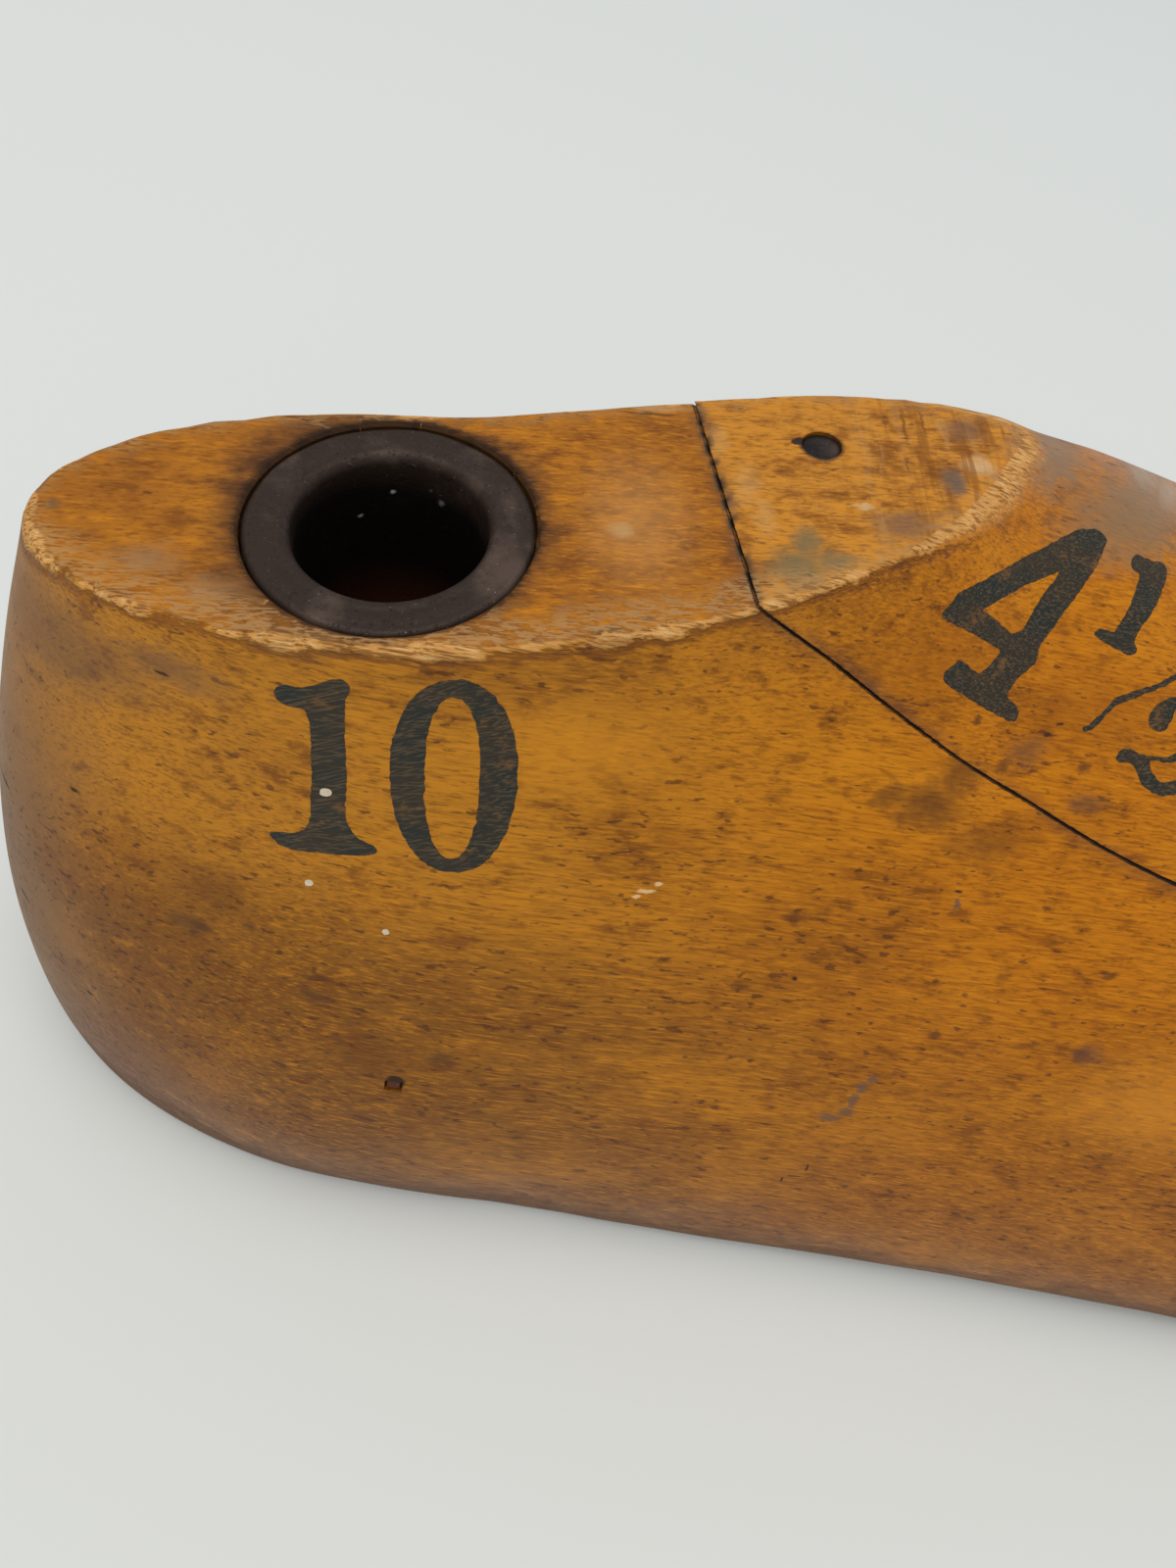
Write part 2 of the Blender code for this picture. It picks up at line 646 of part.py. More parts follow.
def main():
    for obj in list(bpy.data.objects):
        bpy.data.objects.remove(obj, do_unlink=True)
    maple = make_material("shellacked_maple", (0.42, 0.19, 0.04), 0.35)
    block_maple = make_material("shellacked_block_maple", (0.45, 0.21, 0.045), 0.35)
    dowel_wood = make_material("birch_dowel", (0.60, 0.42, 0.22), 0.6)
    dark_steel = make_material("browned_steel", (0.055, 0.04, 0.035), 0.55, 0.8)
    wire_steel = make_material("steel_wire", (0.16, 0.14, 0.12), 0.4, 1.0)

    # The block slides on this empty's Z, square to the plate.
    lift = bpy.data.objects.new("block_lift", None)
    lift.matrix_world = plate_frame(*stud_at)
    bpy.context.scene.collection.objects.link(lift)

    body = make_body(maple)
    block = make_block(block_maple)
    make_thimble(body, dark_steel)
    make_tack_stub(body, wire_steel)
    _, spring, spring_pin = make_catch(body, block, wire_steel)
    make_dowel(body, block, dowel_wood)
    for rider in (block, spring, spring_pin):
        rider.parent = lift
        rider.matrix_parent_inverse = lift.matrix_world.inverted()


main()
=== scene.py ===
import math

import bmesh
import bpy
import numpy as np
from mathutils import Matrix, Vector
from mathutils.geometry import delaunay_2d_cdt


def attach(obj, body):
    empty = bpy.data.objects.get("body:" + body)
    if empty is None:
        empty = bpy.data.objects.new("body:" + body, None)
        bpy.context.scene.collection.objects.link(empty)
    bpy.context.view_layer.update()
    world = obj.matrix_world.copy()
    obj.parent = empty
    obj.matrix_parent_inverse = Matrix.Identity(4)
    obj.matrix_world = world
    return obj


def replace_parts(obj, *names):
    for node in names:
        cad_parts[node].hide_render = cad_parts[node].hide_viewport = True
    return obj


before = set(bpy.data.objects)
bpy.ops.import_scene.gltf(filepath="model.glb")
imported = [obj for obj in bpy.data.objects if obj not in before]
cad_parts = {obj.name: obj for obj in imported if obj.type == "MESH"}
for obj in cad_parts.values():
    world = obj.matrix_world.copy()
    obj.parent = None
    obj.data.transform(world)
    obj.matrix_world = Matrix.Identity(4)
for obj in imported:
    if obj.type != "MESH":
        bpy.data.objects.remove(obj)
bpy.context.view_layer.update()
mm = 0.001

# The last's own lines, in millimetres: X from heel to toe, Y to the medial side, Z up.
# A station is a distance along the last. Tables give values at a few stations.
lines = {
    "length": 236.0,
    "origin": (120.605, -0.92, 0.0),   # the row's origin in this layout
    "gap": 0.3,
    "sawGap": 0.09,
    "holeX": 34.0,
    "plateHeight": 60.0,
    "plateTilt": math.radians(7.0),
    "plateRear": 22.8,
    "plateFront": 46.6,
    "plateHalf": 10.7,
    "plateOffset": 0.6,
    "plateSwing": 13.0,
    "plateBend": 1.6,
    "plateDraw": 2.8,
    "seatTip": 5.0,
    "seatWidest": 44.5,
    "seatMiddle": -2.0,
    "seatHalf": 24.0,
    "seatSpread": {-1: 0.8, 1: 0.0},   # so that the lateral edge runs straight on into the waist
    "spreadRun": (34, 50, 60, 120),
    "toeFrom": {-1: 145.0, 1: 170.0},
    "toeMiddle": 5.0,
    "toeRound": 0.56,
    "toeSpread": 2.3,
    "crestEnd": 222.0,
    "crestDrawn": 200.0,               # past this station the crest is drawn in to its end
    "ballEnd": 180.0,
    "soleBlend": 30.0,
    "bendRun": 5.0,
    "scoopStart": 56.6,
    "scoopCentre": 123.0,
    "scoopRadius": 115.0,
    "scoopFrom": (50.0, 70.0),         # between these stations the scoop starts
    "scoopTo": (120.0, 150.0),         # and between these it ends
    "scoopSkew": 0.16,
    "skewRun": (28, 52, 150, 205),
    "widthAt": [40, 44.5, 56, 70, 85, 100, 122, 145, 170, 190],
    "width": {-1: [26.0, 26.0, 27.3, 29.1, 31.0, 33.3, 36.6, 39.0, 38.0, 36.0],
              1: [22.0, 22.0, 21.2, 18.8, 16.4, 16.4, 22.4, 31.6, 36.8, 36.0]},
    "liftAt": [5, 30, 45, 60, 80, 100, 120, 140, 158, 176, 205, 225, 236],
    "lift": {-1: [0.8, 0.8, 1.0, 1.7, 2.8, 3.6, 3.6, 2.4, 1.2, 1.2, 3.4, 6.8, 9.4],
             1: [0.8, 0.8, 1.6, 3.6, 7.0, 8.6, 7.2, 3.8, 1.2, 1.2, 3.4, 6.8, 9.4]},
    "soleAt": [5, 32, 60, 80, 105, 135, 156, 180, 205, 225, 236],
    "soleRise": [0.0, 0.0, 1.2, 2.9, 4.4, 2.0, 0.0, 0.0, 1.9, 5.4, 8.2],
    "crestAt": [58, 66, 70, 74.6, 80.6, 86, 92, 105, 120, 140, 160, 180, 200, 222],
    "crestAcross": [7.5, 9.3, 10.6, 12.1, 13.6, 14.5, 15.2, 15.8, 15.4, 13.6, 11.2, 8.8, 6.6, 5.0],
    "crestDrop": [10.5, 9.7, 8.5, 5.2, 0.0, -0.8, -2.1, -5.9, -11.9, -20.4, -27.6, -33.2, -37.4, -42.4],
    "swellAt": [5, 20, 34, 60, 90, 130, 180, 236],
    "swell": {-1: [2.8, 4.3, 5.4, 4.4, 4.4, 3.5, 3.0, 4.0], 1: [2.8, 4.2, 4.8, 2.6, 0.5, 1.5, 3.0, 4.0]},
    "shareAt": [5, 34, 80, 120, 180, 236],
    "share": [0.46, 0.38, 0.42, 0.52, 0.60, 0.62],
    "neckAt": [5, 20, 40, 60, 80],
    "neck": {-1: [73.6, 79.7, 76, 70, 66], 1: [73.6, 80, 80, 80, 80]},
    "handAt": [5, 34, 60, 80],
    "hand": [14.3, 25.4, 18.0, 15.0],
    "neckToRidge": (57.0, 77.0),
    "overAt": [58, 70, 80.6, 92, 105, 120, 150, 180, 236],
    "over": {-1: [11, 5.5, 10.2, 10.8, 12.3, 17, 20, 20, 8], 1: [11, 10.5, 10.8, 6, 7, 10, 16, 18, 8]},
    "underAt": [58, 66, 74.6, 84, 92],
    "under": {-1: [8.0, 6.0, 3.2, 0.0, 0.0], 1: [8.0, 6.0, 2.8, 0.0, 0.0]},
}
lines["plateEnd"] = lines["holeX"] + lines["plateFront"]


def ease(low, high, x):
    t = np.clip((np.asarray(x, float) - low) / (high - low), 0, 1)
    return t * t * (3 - 2 * t)   # 0 below low, 1 above high, smooth between


def curveThrough(stations, values, x):
    # cubic Hermite pieces through the table, level at each turning point
    s, v, x = np.asarray(stations, float), np.asarray(values, float), np.asarray(x, float)
    step = np.diff(s)
    rise = np.diff(v) / step
    slope = np.empty_like(v)
    slope[0], slope[-1] = rise[0], rise[-1]
    slope[1:-1] = (rise[:-1] * step[1:] + rise[1:] * step[:-1]) / (step[:-1] + step[1:])
    slope[1:-1][rise[:-1] * rise[1:] <= 0] = 0
    i = np.clip(np.searchsorted(s, x, side="right") - 1, 0, len(s) - 2)
    h = step[i]
    t = np.clip((x - s[i]) / h, 0, 1)
    low = (1 + 2 * t) * (1 - t) ** 2 * v[i] + t * (1 - t) ** 2 * h * slope[i]
    return low + t * t * (3 - 2 * t) * v[i + 1] + t * t * (t - 1) * h * slope[i + 1]


def softThrough(stations, values, x):
    # the same curve averaged over a short run, so that no bend starts with a step
    x = np.asarray(x, float)
    reach = np.clip(np.minimum(x - stations[0], stations[-1] - x), 0, lines["bendRun"])
    steps = ((-1, 1), (-0.5, 2), (0, 3), (0.5, 2), (1, 1))
    return sum(w * curveThrough(stations, values, x + reach * u) for u, w in steps) / 9


def raised(height, run, station):
    # rises to the height from the run's first station to its second, and falls between the others
    a, b, c, d = run
    return height * ease(a, b, station) * (1 - ease(c, d, station))


def skew(station):
    # how far a section leans towards the heel for each millimetre to the medial side
    return raised(lines["scoopSkew"], lines["skewRun"], station)


def plateZ(x):
    # the height of the tilted plate
    return lines["plateHeight"] + (x - lines["holeX"]) * math.tan(lines["plateTilt"])


def scoopZ(station, x, radius):
    # an arc laid out from the plate, so that it meets the plate squarely in every section
    full, centre, start = lines["scoopRadius"], lines["scoopCentre"], lines["scoopStart"]
    top = plateZ(start) + math.sqrt(full**2 - (centre - start) ** 2)
    return top - np.sqrt(radius**2 - (station - centre) ** 2) + plateZ(x) - plateZ(station)


def featherY(station, side):
    # the feather edge in plan: half an ellipse, a spline along the waist, a rounded toe
    tip, widest, width = lines["seatTip"], lines["seatWidest"], lines["width"][side]
    y = curveThrough(lines["widthAt"], width, station)
    back = np.clip((widest - station) / (widest - tip), 0, 1)
    seat = side * lines["seatMiddle"] + lines["seatHalf"] * np.sqrt(1 - back**2)
    y = np.where(station < widest, seat, y)
    y = y + raised(lines["seatSpread"][side], lines["spreadRun"], station)
    start = lines["toeFrom"][side]
    front = np.clip((station - start) / (lines["length"] - start), 0, 1)
    middle = side * lines["toeMiddle"]
    wide = width[lines["widthAt"].index(start)] - middle
    toe = middle + wide * (1 - front ** lines["toeSpread"]) ** lines["toeRound"]
    return side * np.where(station > start, toe, y)


def crestLine(station):
    # the ridge's Y and Z at each station
    end = lines["plateEnd"]
    y = softThrough(lines["crestAt"], lines["crestAcross"], station)
    frontY = float(softThrough(lines["crestAt"], lines["crestAcross"], end))
    level = float(plateZ(end - skew(end) * frontY))
    drop = softThrough(lines["crestAt"], lines["crestDrop"], np.append(station, end))
    return y, level + (drop[:-1] - drop[-1]).reshape(np.shape(station))


def plateOutline(station):
    # the plate's middle line and half width: elliptical behind the hole, drawn in ahead of it
    r = station - lines["holeX"]
    ahead = np.clip(r / lines["plateFront"], 0, 1)
    middle = lines["plateOffset"] + lines["plateSwing"] * ahead ** lines["plateBend"]
    rear = 1 - np.clip(-r / lines["plateRear"], 0, 1) ** 2
    front = 1 - ahead ** lines["plateDraw"]
    return middle, lines["plateHalf"] * np.sqrt(np.where(r < 0, rear, front))


def bezier(points, t):
    a, b, c, d = (p[:, None] for p in points)
    return (1 - t) ** 3 * a + 3 * (1 - t) ** 2 * t * b + 3 * (1 - t) * t**2 * c + t**3 * d


def firstRise(points, ceiling):
    # the t at which each section's Bezier first rises above ceiling(points), or 1
    t = 1 - (1 - np.linspace(0, 1, 401)) ** 2
    curve = bezier(points, t[None, :, None])
    above = curve[..., 2] - ceiling(curve)
    k = np.argmax(above > 0, axis=1)
    i = np.arange(len(k))
    low, high = above[i, k - 1], above[i, k]
    span = np.where(k > 0, high - low, 1.0)
    return np.where(k > 0, t[k - 1] - low * (t[k] - t[k - 1]) / span, 1.0)


def shortened(points, share):
    # the stretch of each Bezier from t = 0 to t = share, by de Casteljau's rule
    a, b, c, d = points
    s = share[:, None]
    ab, bc, cd = a + (b - a) * s, b + (c - b) * s, c + (d - c) * s
    abc, bcd = ab + (bc - ab) * s, bc + (cd - bc) * s
    return a, ab, abc, abc + (bcd - abc) * s


def wallCurves(station, side):
    # each section's wall is a Bezier from the feather edge to the plate's rim or the crest
    station = np.asarray(station, float)
    tip, widest = lines["seatTip"], lines["seatWidest"]
    behind = np.clip(widest - station, 0, None) / (widest - tip)
    shift = lines["holeX"] - lines["plateRear"] - tip
    drawn = lines["crestDrawn"]
    toeShare = (lines["crestEnd"] - drawn) / (lines["length"] - drawn)
    ahead = drawn + (station - drawn) * toeShare
    top = np.where(station > drawn, ahead, station + shift * behind**2)
    up = np.array([0.0, 0.0, 1.0])
    footY = featherY(station, side)
    footZ = curveThrough(lines["liftAt"], lines["lift"][side], station)
    foot = np.stack([station - skew(station) * footY, footY, footZ], -1)
    swell = softThrough(lines["swellAt"], lines["swell"][side], station)
    share = softThrough(lines["shareAt"], lines["share"], station)

    def curveTo(head, over, under):
        out = (foot - head) * (1, 1, 0)
        out /= np.linalg.norm(out, axis=-1)[:, None]
        low = foot + out * swell[:, None] + up * ((head[:, 2] - footZ) * share)[:, None]
        return foot, low, head + out * over[:, None] - up * under[:, None], head

    middle, half = plateOutline(np.minimum(top, lines["plateEnd"]))
    rimY = middle + side * half
    rimX = top - skew(top) * rimY
    neck = np.radians(softThrough(lines["neckAt"], lines["neck"][side], station))
    hand = softThrough(lines["handAt"], lines["hand"], station)
    rim = np.stack([rimX, rimY, plateZ(rimX)], -1)
    rear = curveTo(rim, hand * np.cos(neck), hand * np.sin(neck))
    crestY, crestZ = crestLine(top)
    over = softThrough(lines["overAt"], lines["over"][side], station)
    under = softThrough(lines["underAt"], lines["under"][side], station)
    ridge = curveTo(np.stack([top - skew(top) * crestY, crestY, crestZ], -1), over, under)
    underPlate, noCeiling = top[:, None] < lines["plateEnd"], 1e3
    level = firstRise(ridge, lambda p: np.where(underPlate, plateZ(p[..., 0]), noCeiling))
    mix = ease(*lines["neckToRidge"], station)[:, None]
    return [r + (f - r) * mix for r, f in zip(rear, shortened(ridge, level))]


def wall(station, side, t):
    return bezier(wallCurves(station, side), np.asarray(t, float)[..., None])


def cutShare(station, side, radius):
    # how far up each section's wall the scoop cuts it
    curves = wallCurves(station, side)
    return firstRise(curves, lambda p: scoopZ(station[:, None], p[..., 0], radius))


def meetingStation(low, high, gap):
    # the station at which a gap changes its sign, by halving
    for _ in range(40):
        middle = (low + high) / 2
        low, high = (middle, high) if (gap(middle) > 0) == (gap(low) > 0) else (low, middle)
    return (low + high) / 2


def scoopEnds(radius):
    # where the arc meets the plate, and where it comes out of the crest
    start = meetingStation(*lines["scoopFrom"], lambda s: plateZ(s) - float(scoopZ(s, s, radius)))

    def overCrest(s):
        y, z = crestLine(np.array(s))
        return float(z - scoopZ(s, s - skew(s) * y, radius))

    return start, meetingStation(*lines["scoopTo"], overCrest)


def easedRun(low, high, count):
    # stations gathered towards high
    return low + (high - low) * np.sin(math.pi * np.linspace(0, 1, count) / 2)


def outAndBack(left, right):
    # along the left side, and back along the right one, which shares its last point
    return np.concatenate([left, right[::-1][1:]])


def backAndOut(left, right):
    # back along the left side, and out again along the right one, which shares its first point
    return np.concatenate([left[::-1], right[1:]])


def spaced(length, near, count):
    # distances from 0 to length: the near ones at both ends, evenly spaced between them
    near = np.asarray(near, float)[None, :] * np.clip(length / (4 * near[-1]), 0, 1)[:, None]
    inner = near[:, -1:] + (length[:, None] - 2 * near[:, -1:]) * np.linspace(0, 1, count)[1:-1]
    return np.concatenate([near, inner, length[:, None] - near[:, ::-1]], axis=1)


def wallGrid(station, side, low, high, near, count):
    # the wall between two shares of each section, with rows at real distances along it
    span = low[:, None] + (high - low)[:, None] * np.linspace(0, 1, 161)
    run = np.linalg.norm(np.diff(wall(station, side, span), axis=1), axis=-1)
    run = np.concatenate([np.zeros((len(run), 1)), np.cumsum(run, axis=1)], axis=1)
    rows = spaced(run[:, -1], near, count)
    t = np.stack([np.interp(r, d, s) for r, d, s in zip(rows, run, span)])
    t[:, 0], t[:, -1] = low, high
    return wall(station, side, t)


def across(left, right, near, count):
    # straight rows of points from left to right, closer together at both ends
    length = np.linalg.norm(right - left, axis=-1)
    share = spaced(length, near, count) / np.maximum(length, 1e-9)[:, None]
    share[length < 1e-9] = 0.5
    return left[:, None] + (right - left)[:, None] * share[..., None], share


def stationOf(x, y):
    s = np.array(x, float)
    for _ in range(6):
        s = x + skew(s) * y   # a section leans in plan by its skew
    return s


def layOnScoop(points, radius):
    points[..., 2] = scoopZ(stationOf(points[..., 0], points[..., 1]), points[..., 0], radius)
    return points


def soleGrid(left, right, station, near, count):
    # flat in its middle half, turned up to the feather edges
    rows, share = across(left, right, near, count)
    crown = np.clip((1 - (2 * share - 1) ** 4) / (1 - 0.5**4), 0, 1)
    crown = crown * ease(0, lines["soleBlend"], np.linalg.norm(right - left, axis=-1))[:, None]
    middle = curveThrough(lines["soleAt"], lines["soleRise"], station)[:, None]
    rows[..., 2] = rows[..., 2] * (1 - crown) + middle * crown
    return rows


def unit(v):
    return v / np.maximum(np.linalg.norm(v, axis=-1, keepdims=True), 1e-12)


def inwards(edge, normal):
    # across an edge, in the face with this normal, towards the middle of the face
    into = unit(np.cross(np.broadcast_to(normal, edge.shape), unit(np.gradient(edge, axis=0))))
    turn = np.sign(np.sum(into * (edge.mean(0) - edge), axis=1))
    return into * (1 if turn.sum() > 0 else -1)


def waves(points, size, seed, count=7):
    # a smooth random field of about -1 to 1: plane waves of about this length, in random directions
    rng = np.random.default_rng(seed)
    ways = unit(rng.normal(size=(count, 3)))
    ways = ways * (2 * math.pi / (size * rng.uniform(0.7, 1.6, (count, 1))))
    phase = rng.uniform(0, 2 * math.pi, count)
    return np.sin(points @ ways.T + phase).sum(-1) / math.sqrt(count / 2)


def nearEdge(points, edge, reach):
    # each point's distance from a polyline, and where its foot is: (distance, index, share)
    flat = points.reshape(-1, 3)
    found = np.full(len(flat), 1e9)
    index, share = np.zeros(len(flat), int), np.zeros(len(flat))
    coarse = edge[:: max(1, len(edge) // 60)]
    slack = reach + np.linalg.norm(np.diff(coarse, axis=0), axis=1).max()
    for part in np.array_split(np.arange(len(flat)), max(1, len(flat) // 20000)):
        close = np.linalg.norm(flat[part, None] - coarse, axis=-1).min(1) < slack
        part = part[close]
        for some in np.array_split(part, max(1, len(part) // 4000)):
            a, b = edge[:-1], np.diff(edge, axis=0)
            away = flat[some, None] - a
            f = np.clip((away * b).sum(-1) / np.maximum((b * b).sum(-1), 1e-12), 0, 1)
            d = np.linalg.norm(away - b * f[..., None], axis=-1)
            best = d.argmin(1)
            rows = np.arange(len(some))
            found[some], index[some], share[some] = d[rows, best], best, f[rows, best]
    return found, index, share


def wearEdge(points, edge, pull, width):
    # A worn edge: a point at distance d from it moves by pull * width * (1 - d/width)^2. With pull a
    # quarter of the sum of the two faces' inward directions, the faces meet in one smooth curve.
    d, i, f = nearEdge(points, edge, float(np.max(width)))
    w = width[i] * (1 - f) + width[i + 1] * f
    p = pull[i] * (1 - f)[:, None] + pull[i + 1] * f[:, None]
    move = p * (w * np.clip(1 - d / w, 0, 1) ** 2)[:, None]
    return points + move.reshape(points.shape)


def closeness(points, edge, reach):
    # 1 on the edge, 0 beyond reach
    return np.clip(1 - nearEdge(points, edge, reach)[0] / reach, 0, 1)


# The hand-finished wood's shallow unevenness: depth, length and seed of each set of waves.
uneven = {"waves": [(0.10, 26, 3), (0.04, 9, 5)], "underPlate": 7.0, "overSole": 8.0}


def weathered(points):
    # waves in and out from the last's middle line, none of them on the plate, the sole or the seat
    depth = sum(deep * waves(points, size, seed) for deep, size, seed in uneven["waves"])
    fade = ease(0, uneven["underPlate"], plateZ(points[..., 0]) - points[..., 2])
    fade = fade * ease(0, uneven["overSole"], points[..., 2])
    out = unit((points - (0, 4, 26)) * (0.0, 1.0, 0.8))
    return points + out * (depth * fade)[..., None]


def putInScene(name, data):
    obj = bpy.data.objects.new(name, data)
    bpy.context.scene.collection.objects.link(obj)
    return obj


def toRow(points):
    return (np.asarray(points, float) - lines["origin"]) * mm


def meshFrom(name, patches, marks=None, weld=1.5e-6):
    # joins grids of points (columns, rows, 3) into one closed mesh; marks are values per point
    starts = np.cumsum([0] + [p.shape[0] * p.shape[1] for p in patches])
    faces = []
    for patch, start in zip(patches, starts):
        n, m = patch.shape[:2]
        k = np.arange(n * m).reshape(n, m) + start
        faces.append(np.stack([k[:-1, :-1], k[1:, :-1], k[1:, 1:], k[:-1, 1:]], -1).reshape(-1, 4))
    mesh = bpy.data.meshes.new(name)
    points = toRow(np.concatenate([p.reshape(-1, 3) for p in patches]))
    mesh.from_pydata(points, [], np.concatenate(faces).tolist())
    for mark, values in (marks or {}).items():
        attribute = mesh.attributes.new(mark, "FLOAT", "POINT")
        attribute.data.foreach_set("value", values.astype(np.float32))
    work = bmesh.new()
    work.from_mesh(mesh)
    bmesh.ops.remove_doubles(work, verts=work.verts, dist=weld)
    bmesh.ops.dissolve_degenerate(work, edges=work.edges, dist=1e-7)
    bmesh.ops.recalc_face_normals(work, faces=work.faces)
    work.to_mesh(mesh)
    work.free()
    mesh.shade_smooth()
    return putInScene(name, mesh)


def placed(points, place):
    return points @ place[:3, :3].T + place[:3, 3]


def turnedGrid(profile, place, around):
    # a profile of (radius, height) pairs carried once round the axis of a place
    turn = np.linspace(0, 2 * math.pi, around + 1)[:, None]
    r, h = np.asarray(profile, float).T
    height = np.broadcast_to(h, (around + 1, len(h)))
    ring = np.stack([np.cos(turn) * r, np.sin(turn) * r, height], -1)
    ring[-1] = ring[0]
    return placed(ring, place)


def tubeGrid(path, radius, around):
    # a circle carried along a flat path: its frame is the path's direction and the plane's normal
    ahead = unit(np.gradient(path, axis=0))
    up = np.array([0.0, 0.0, 1.0])
    sideways = np.cross(ahead, up)
    turn = np.linspace(0, 2 * math.pi, around + 1)[:, None]
    rings = path[:, None] + radius * (np.cos(turn) * sideways[:, None] + np.sin(turn) * up)
    ends = [np.broadcast_to(path[k], rings[0].shape)[None] for k in (0, -1)]
    return np.concatenate([ends[0], rings, ends[1]])


def turnedAbout(angle, axis):
    return np.array(Matrix.Rotation(angle, 4, axis))


def plateFrame(station, y, depth=0.0):
    # a place under the plate at this station and y, its Z square to the plate
    x = station - float(skew(station)) * y
    place = turnedAbout(-lines["plateTilt"], "Y")
    place[:3, 3] = np.array([x, y, plateZ(x)]) - place[:3, 2] * depth
    return place


def floorDepth(station, y):
    # how deep the scoop's floor lies under the plate, square to it
    x = station - float(skew(station)) * y
    return float(plateZ(x) - scoopZ(station, x, lines["scoopRadius"])) * math.cos(lines["plateTilt"])


def cutOut(obj, cutters):
    # takes the cutters' shapes out of a closed mesh, and keeps the result as its mesh
    for cutter in cutters:
        step = obj.modifiers.new("cut " + cutter.name, "BOOLEAN")
        step.operation = "DIFFERENCE"
        step.solver = "EXACT"
        step.object = cutter
    bpy.context.view_layer.update()
    cut = obj.evaluated_get(bpy.context.evaluated_depsgraph_get())
    result = bpy.data.meshes.new_from_object(cut)
    obj.modifiers.clear()
    old, obj.data = obj.data, result
    result.name = obj.name
    bpy.data.meshes.remove(old)
    for cutter in cutters:
        bpy.data.objects.remove(cutter, do_unlink=True)
    result.set_sharp_from_angle(angle=math.radians(38))


def makeTurned(name, profile, place, around=48):
    return meshFrom(name, [turnedGrid(profile, place, around)])


def rod(radius, low, high):
    # the profile of a plain cylinder
    return [(0, low), (radius, low), (radius, high), (0, high)]


# The fittings' sizes in millimetres, the same in the wood's holes and in the pieces that fill them.
fittings = {
    "snug": 0.12,
    "thimbleAt": (34.0, 0.6),
    "thimbleBore": 6.43,
    "thimbleTube": 7.95,
    "thimbleFlange": 9.5,
    "thimbleThick": 1.4,
    "thimbleLong": 38.0,
    "thimbleLip": 0.95,
    "thimbleEdge": 0.5,
    "thimbleSunk": 0.12,
    "thimbleWaves": 0.04,
    "thimbleCrown": (8.8, 7.6, 0.05, 0.07),   # its outer and inner radius, its height and its fall
    "jackHoleDeep": 44.0,
    "seatWorn": (0.2, 0.25),     # the flange's seat is worn this much wider, down to this depth
    "seatFlare": 0.6,            # and its cutter is this much wider above the plate
    "past": 2.0,                 # a hole is cut from this far outside the plate
    "headroom": 0.8,             # above the stud and the dowel
    "stud": (74.0, 6.0),
    "studHead": 2.6,
    "studNeck": 1.7,
    "studUp": 8.2,
    "studDown": 12.0,
    "studEdge": 0.8,
    "studHeadHigh": 1.8,
    "studCone": 0.5,             # under its head
    "studRoom": 0.5,             # round its head, in the block
    "studPast": 8.0,             # its holes are cut from this far past the scoop
    "pin": (65.0, 10.6),
    "pinRadius": 1.2,
    "pinSpread": 1.4,
    "pinFlare": (0.9, 0.5),      # the depths between which its end spreads
    "pinDome": 5.0,
    "pinSunk": 0.06,
    "pinRoom": 0.04,
    "pinHolePast": 3.0,
    "wireRadius": 0.7,
    "springDepth": 4.4,
    "springSlope": 0.36,
    "springReach": 16.0,
    "legStart": 0.08,            # shares of its reach, at which a leg starts and is fully spread
    "legSpread": 0.6,
    "slotRoom": (1.3, 1.2, 1.1, 1.3),   # behind and ahead of it, and beside its bend and its ends
    "slotLevels": (-14.0, 1.1),
    "dowel": (104.0, 9.5),
    "dowelRadius": 3.0,
    "dowelUp": 7.5,
    "dowelDown": 12.0,
    "dowelEdge": 0.8,
    "dowelPast": 6.0,
    "tack": (37.3, -1, 0.393),
    "tackWide": 1.15,
    "tackHigh": 0.95,
    "tackLong": 9.0,
    "tackSunk": 0.15,
    "tackPast": 1.5,
}
fittings["pinLong"] = fittings["springDepth"] + 1.2


def springFrame():
    # the hairpin's own plane: X from its pin towards the stud, sloping with the scoop
    pin, stud = plateFrame(*fittings["pin"]), plateFrame(*fittings["stud"])
    toward = stud[:3, 3] - pin[:3, 3]
    place = turnedAbout(math.atan2(toward[1], toward[0]), "Z")
    place = place @ turnedAbout(math.atan(fittings["springSlope"]) - lines["plateTilt"], "Y")
    place[:3, 3] = pin[:3, 3] - pin[:3, 2] * fittings["springDepth"]
    return place


def springWidths():
    # half the hairpin's width, to its wire's middle, at the pin and at the stud
    bend = fittings["pinRadius"] + lines["gap"] + fittings["wireRadius"]
    return bend, fittings["studHead"] + lines["gap"] + fittings["wireRadius"]


def tackFrame():
    # Z out of the wood, Y up the wall
    station, side, t = fittings["tack"]
    here = wall(np.array([station, station + 1.0]), side, np.array([[t, t + 0.01]] * 2))
    up = unit(here[0, 1] - here[0, 0])
    out = unit(np.cross(here[1, 0] - here[0, 0], up)) * -side
    place = np.eye(4)
    place[:3, :3] = np.stack([np.cross(up, out), up, out], -1)
    place[:3, 3] = weathered(here[0, 0])
    return place


def boxGrid(corners, low, high, place):
    # an upright prism over a four-sided outline, between two levels
    ring = np.array([*corners, corners[0]], float)
    levels = [(0, low), (1, low), (1, high), (0, high)]
    middle = ring[:4].mean(0)
    grid = [np.concatenate([middle + (ring - middle) * s, np.full((5, 1), z)], axis=1) for s, z in levels]
    return placed(np.array(grid), place)


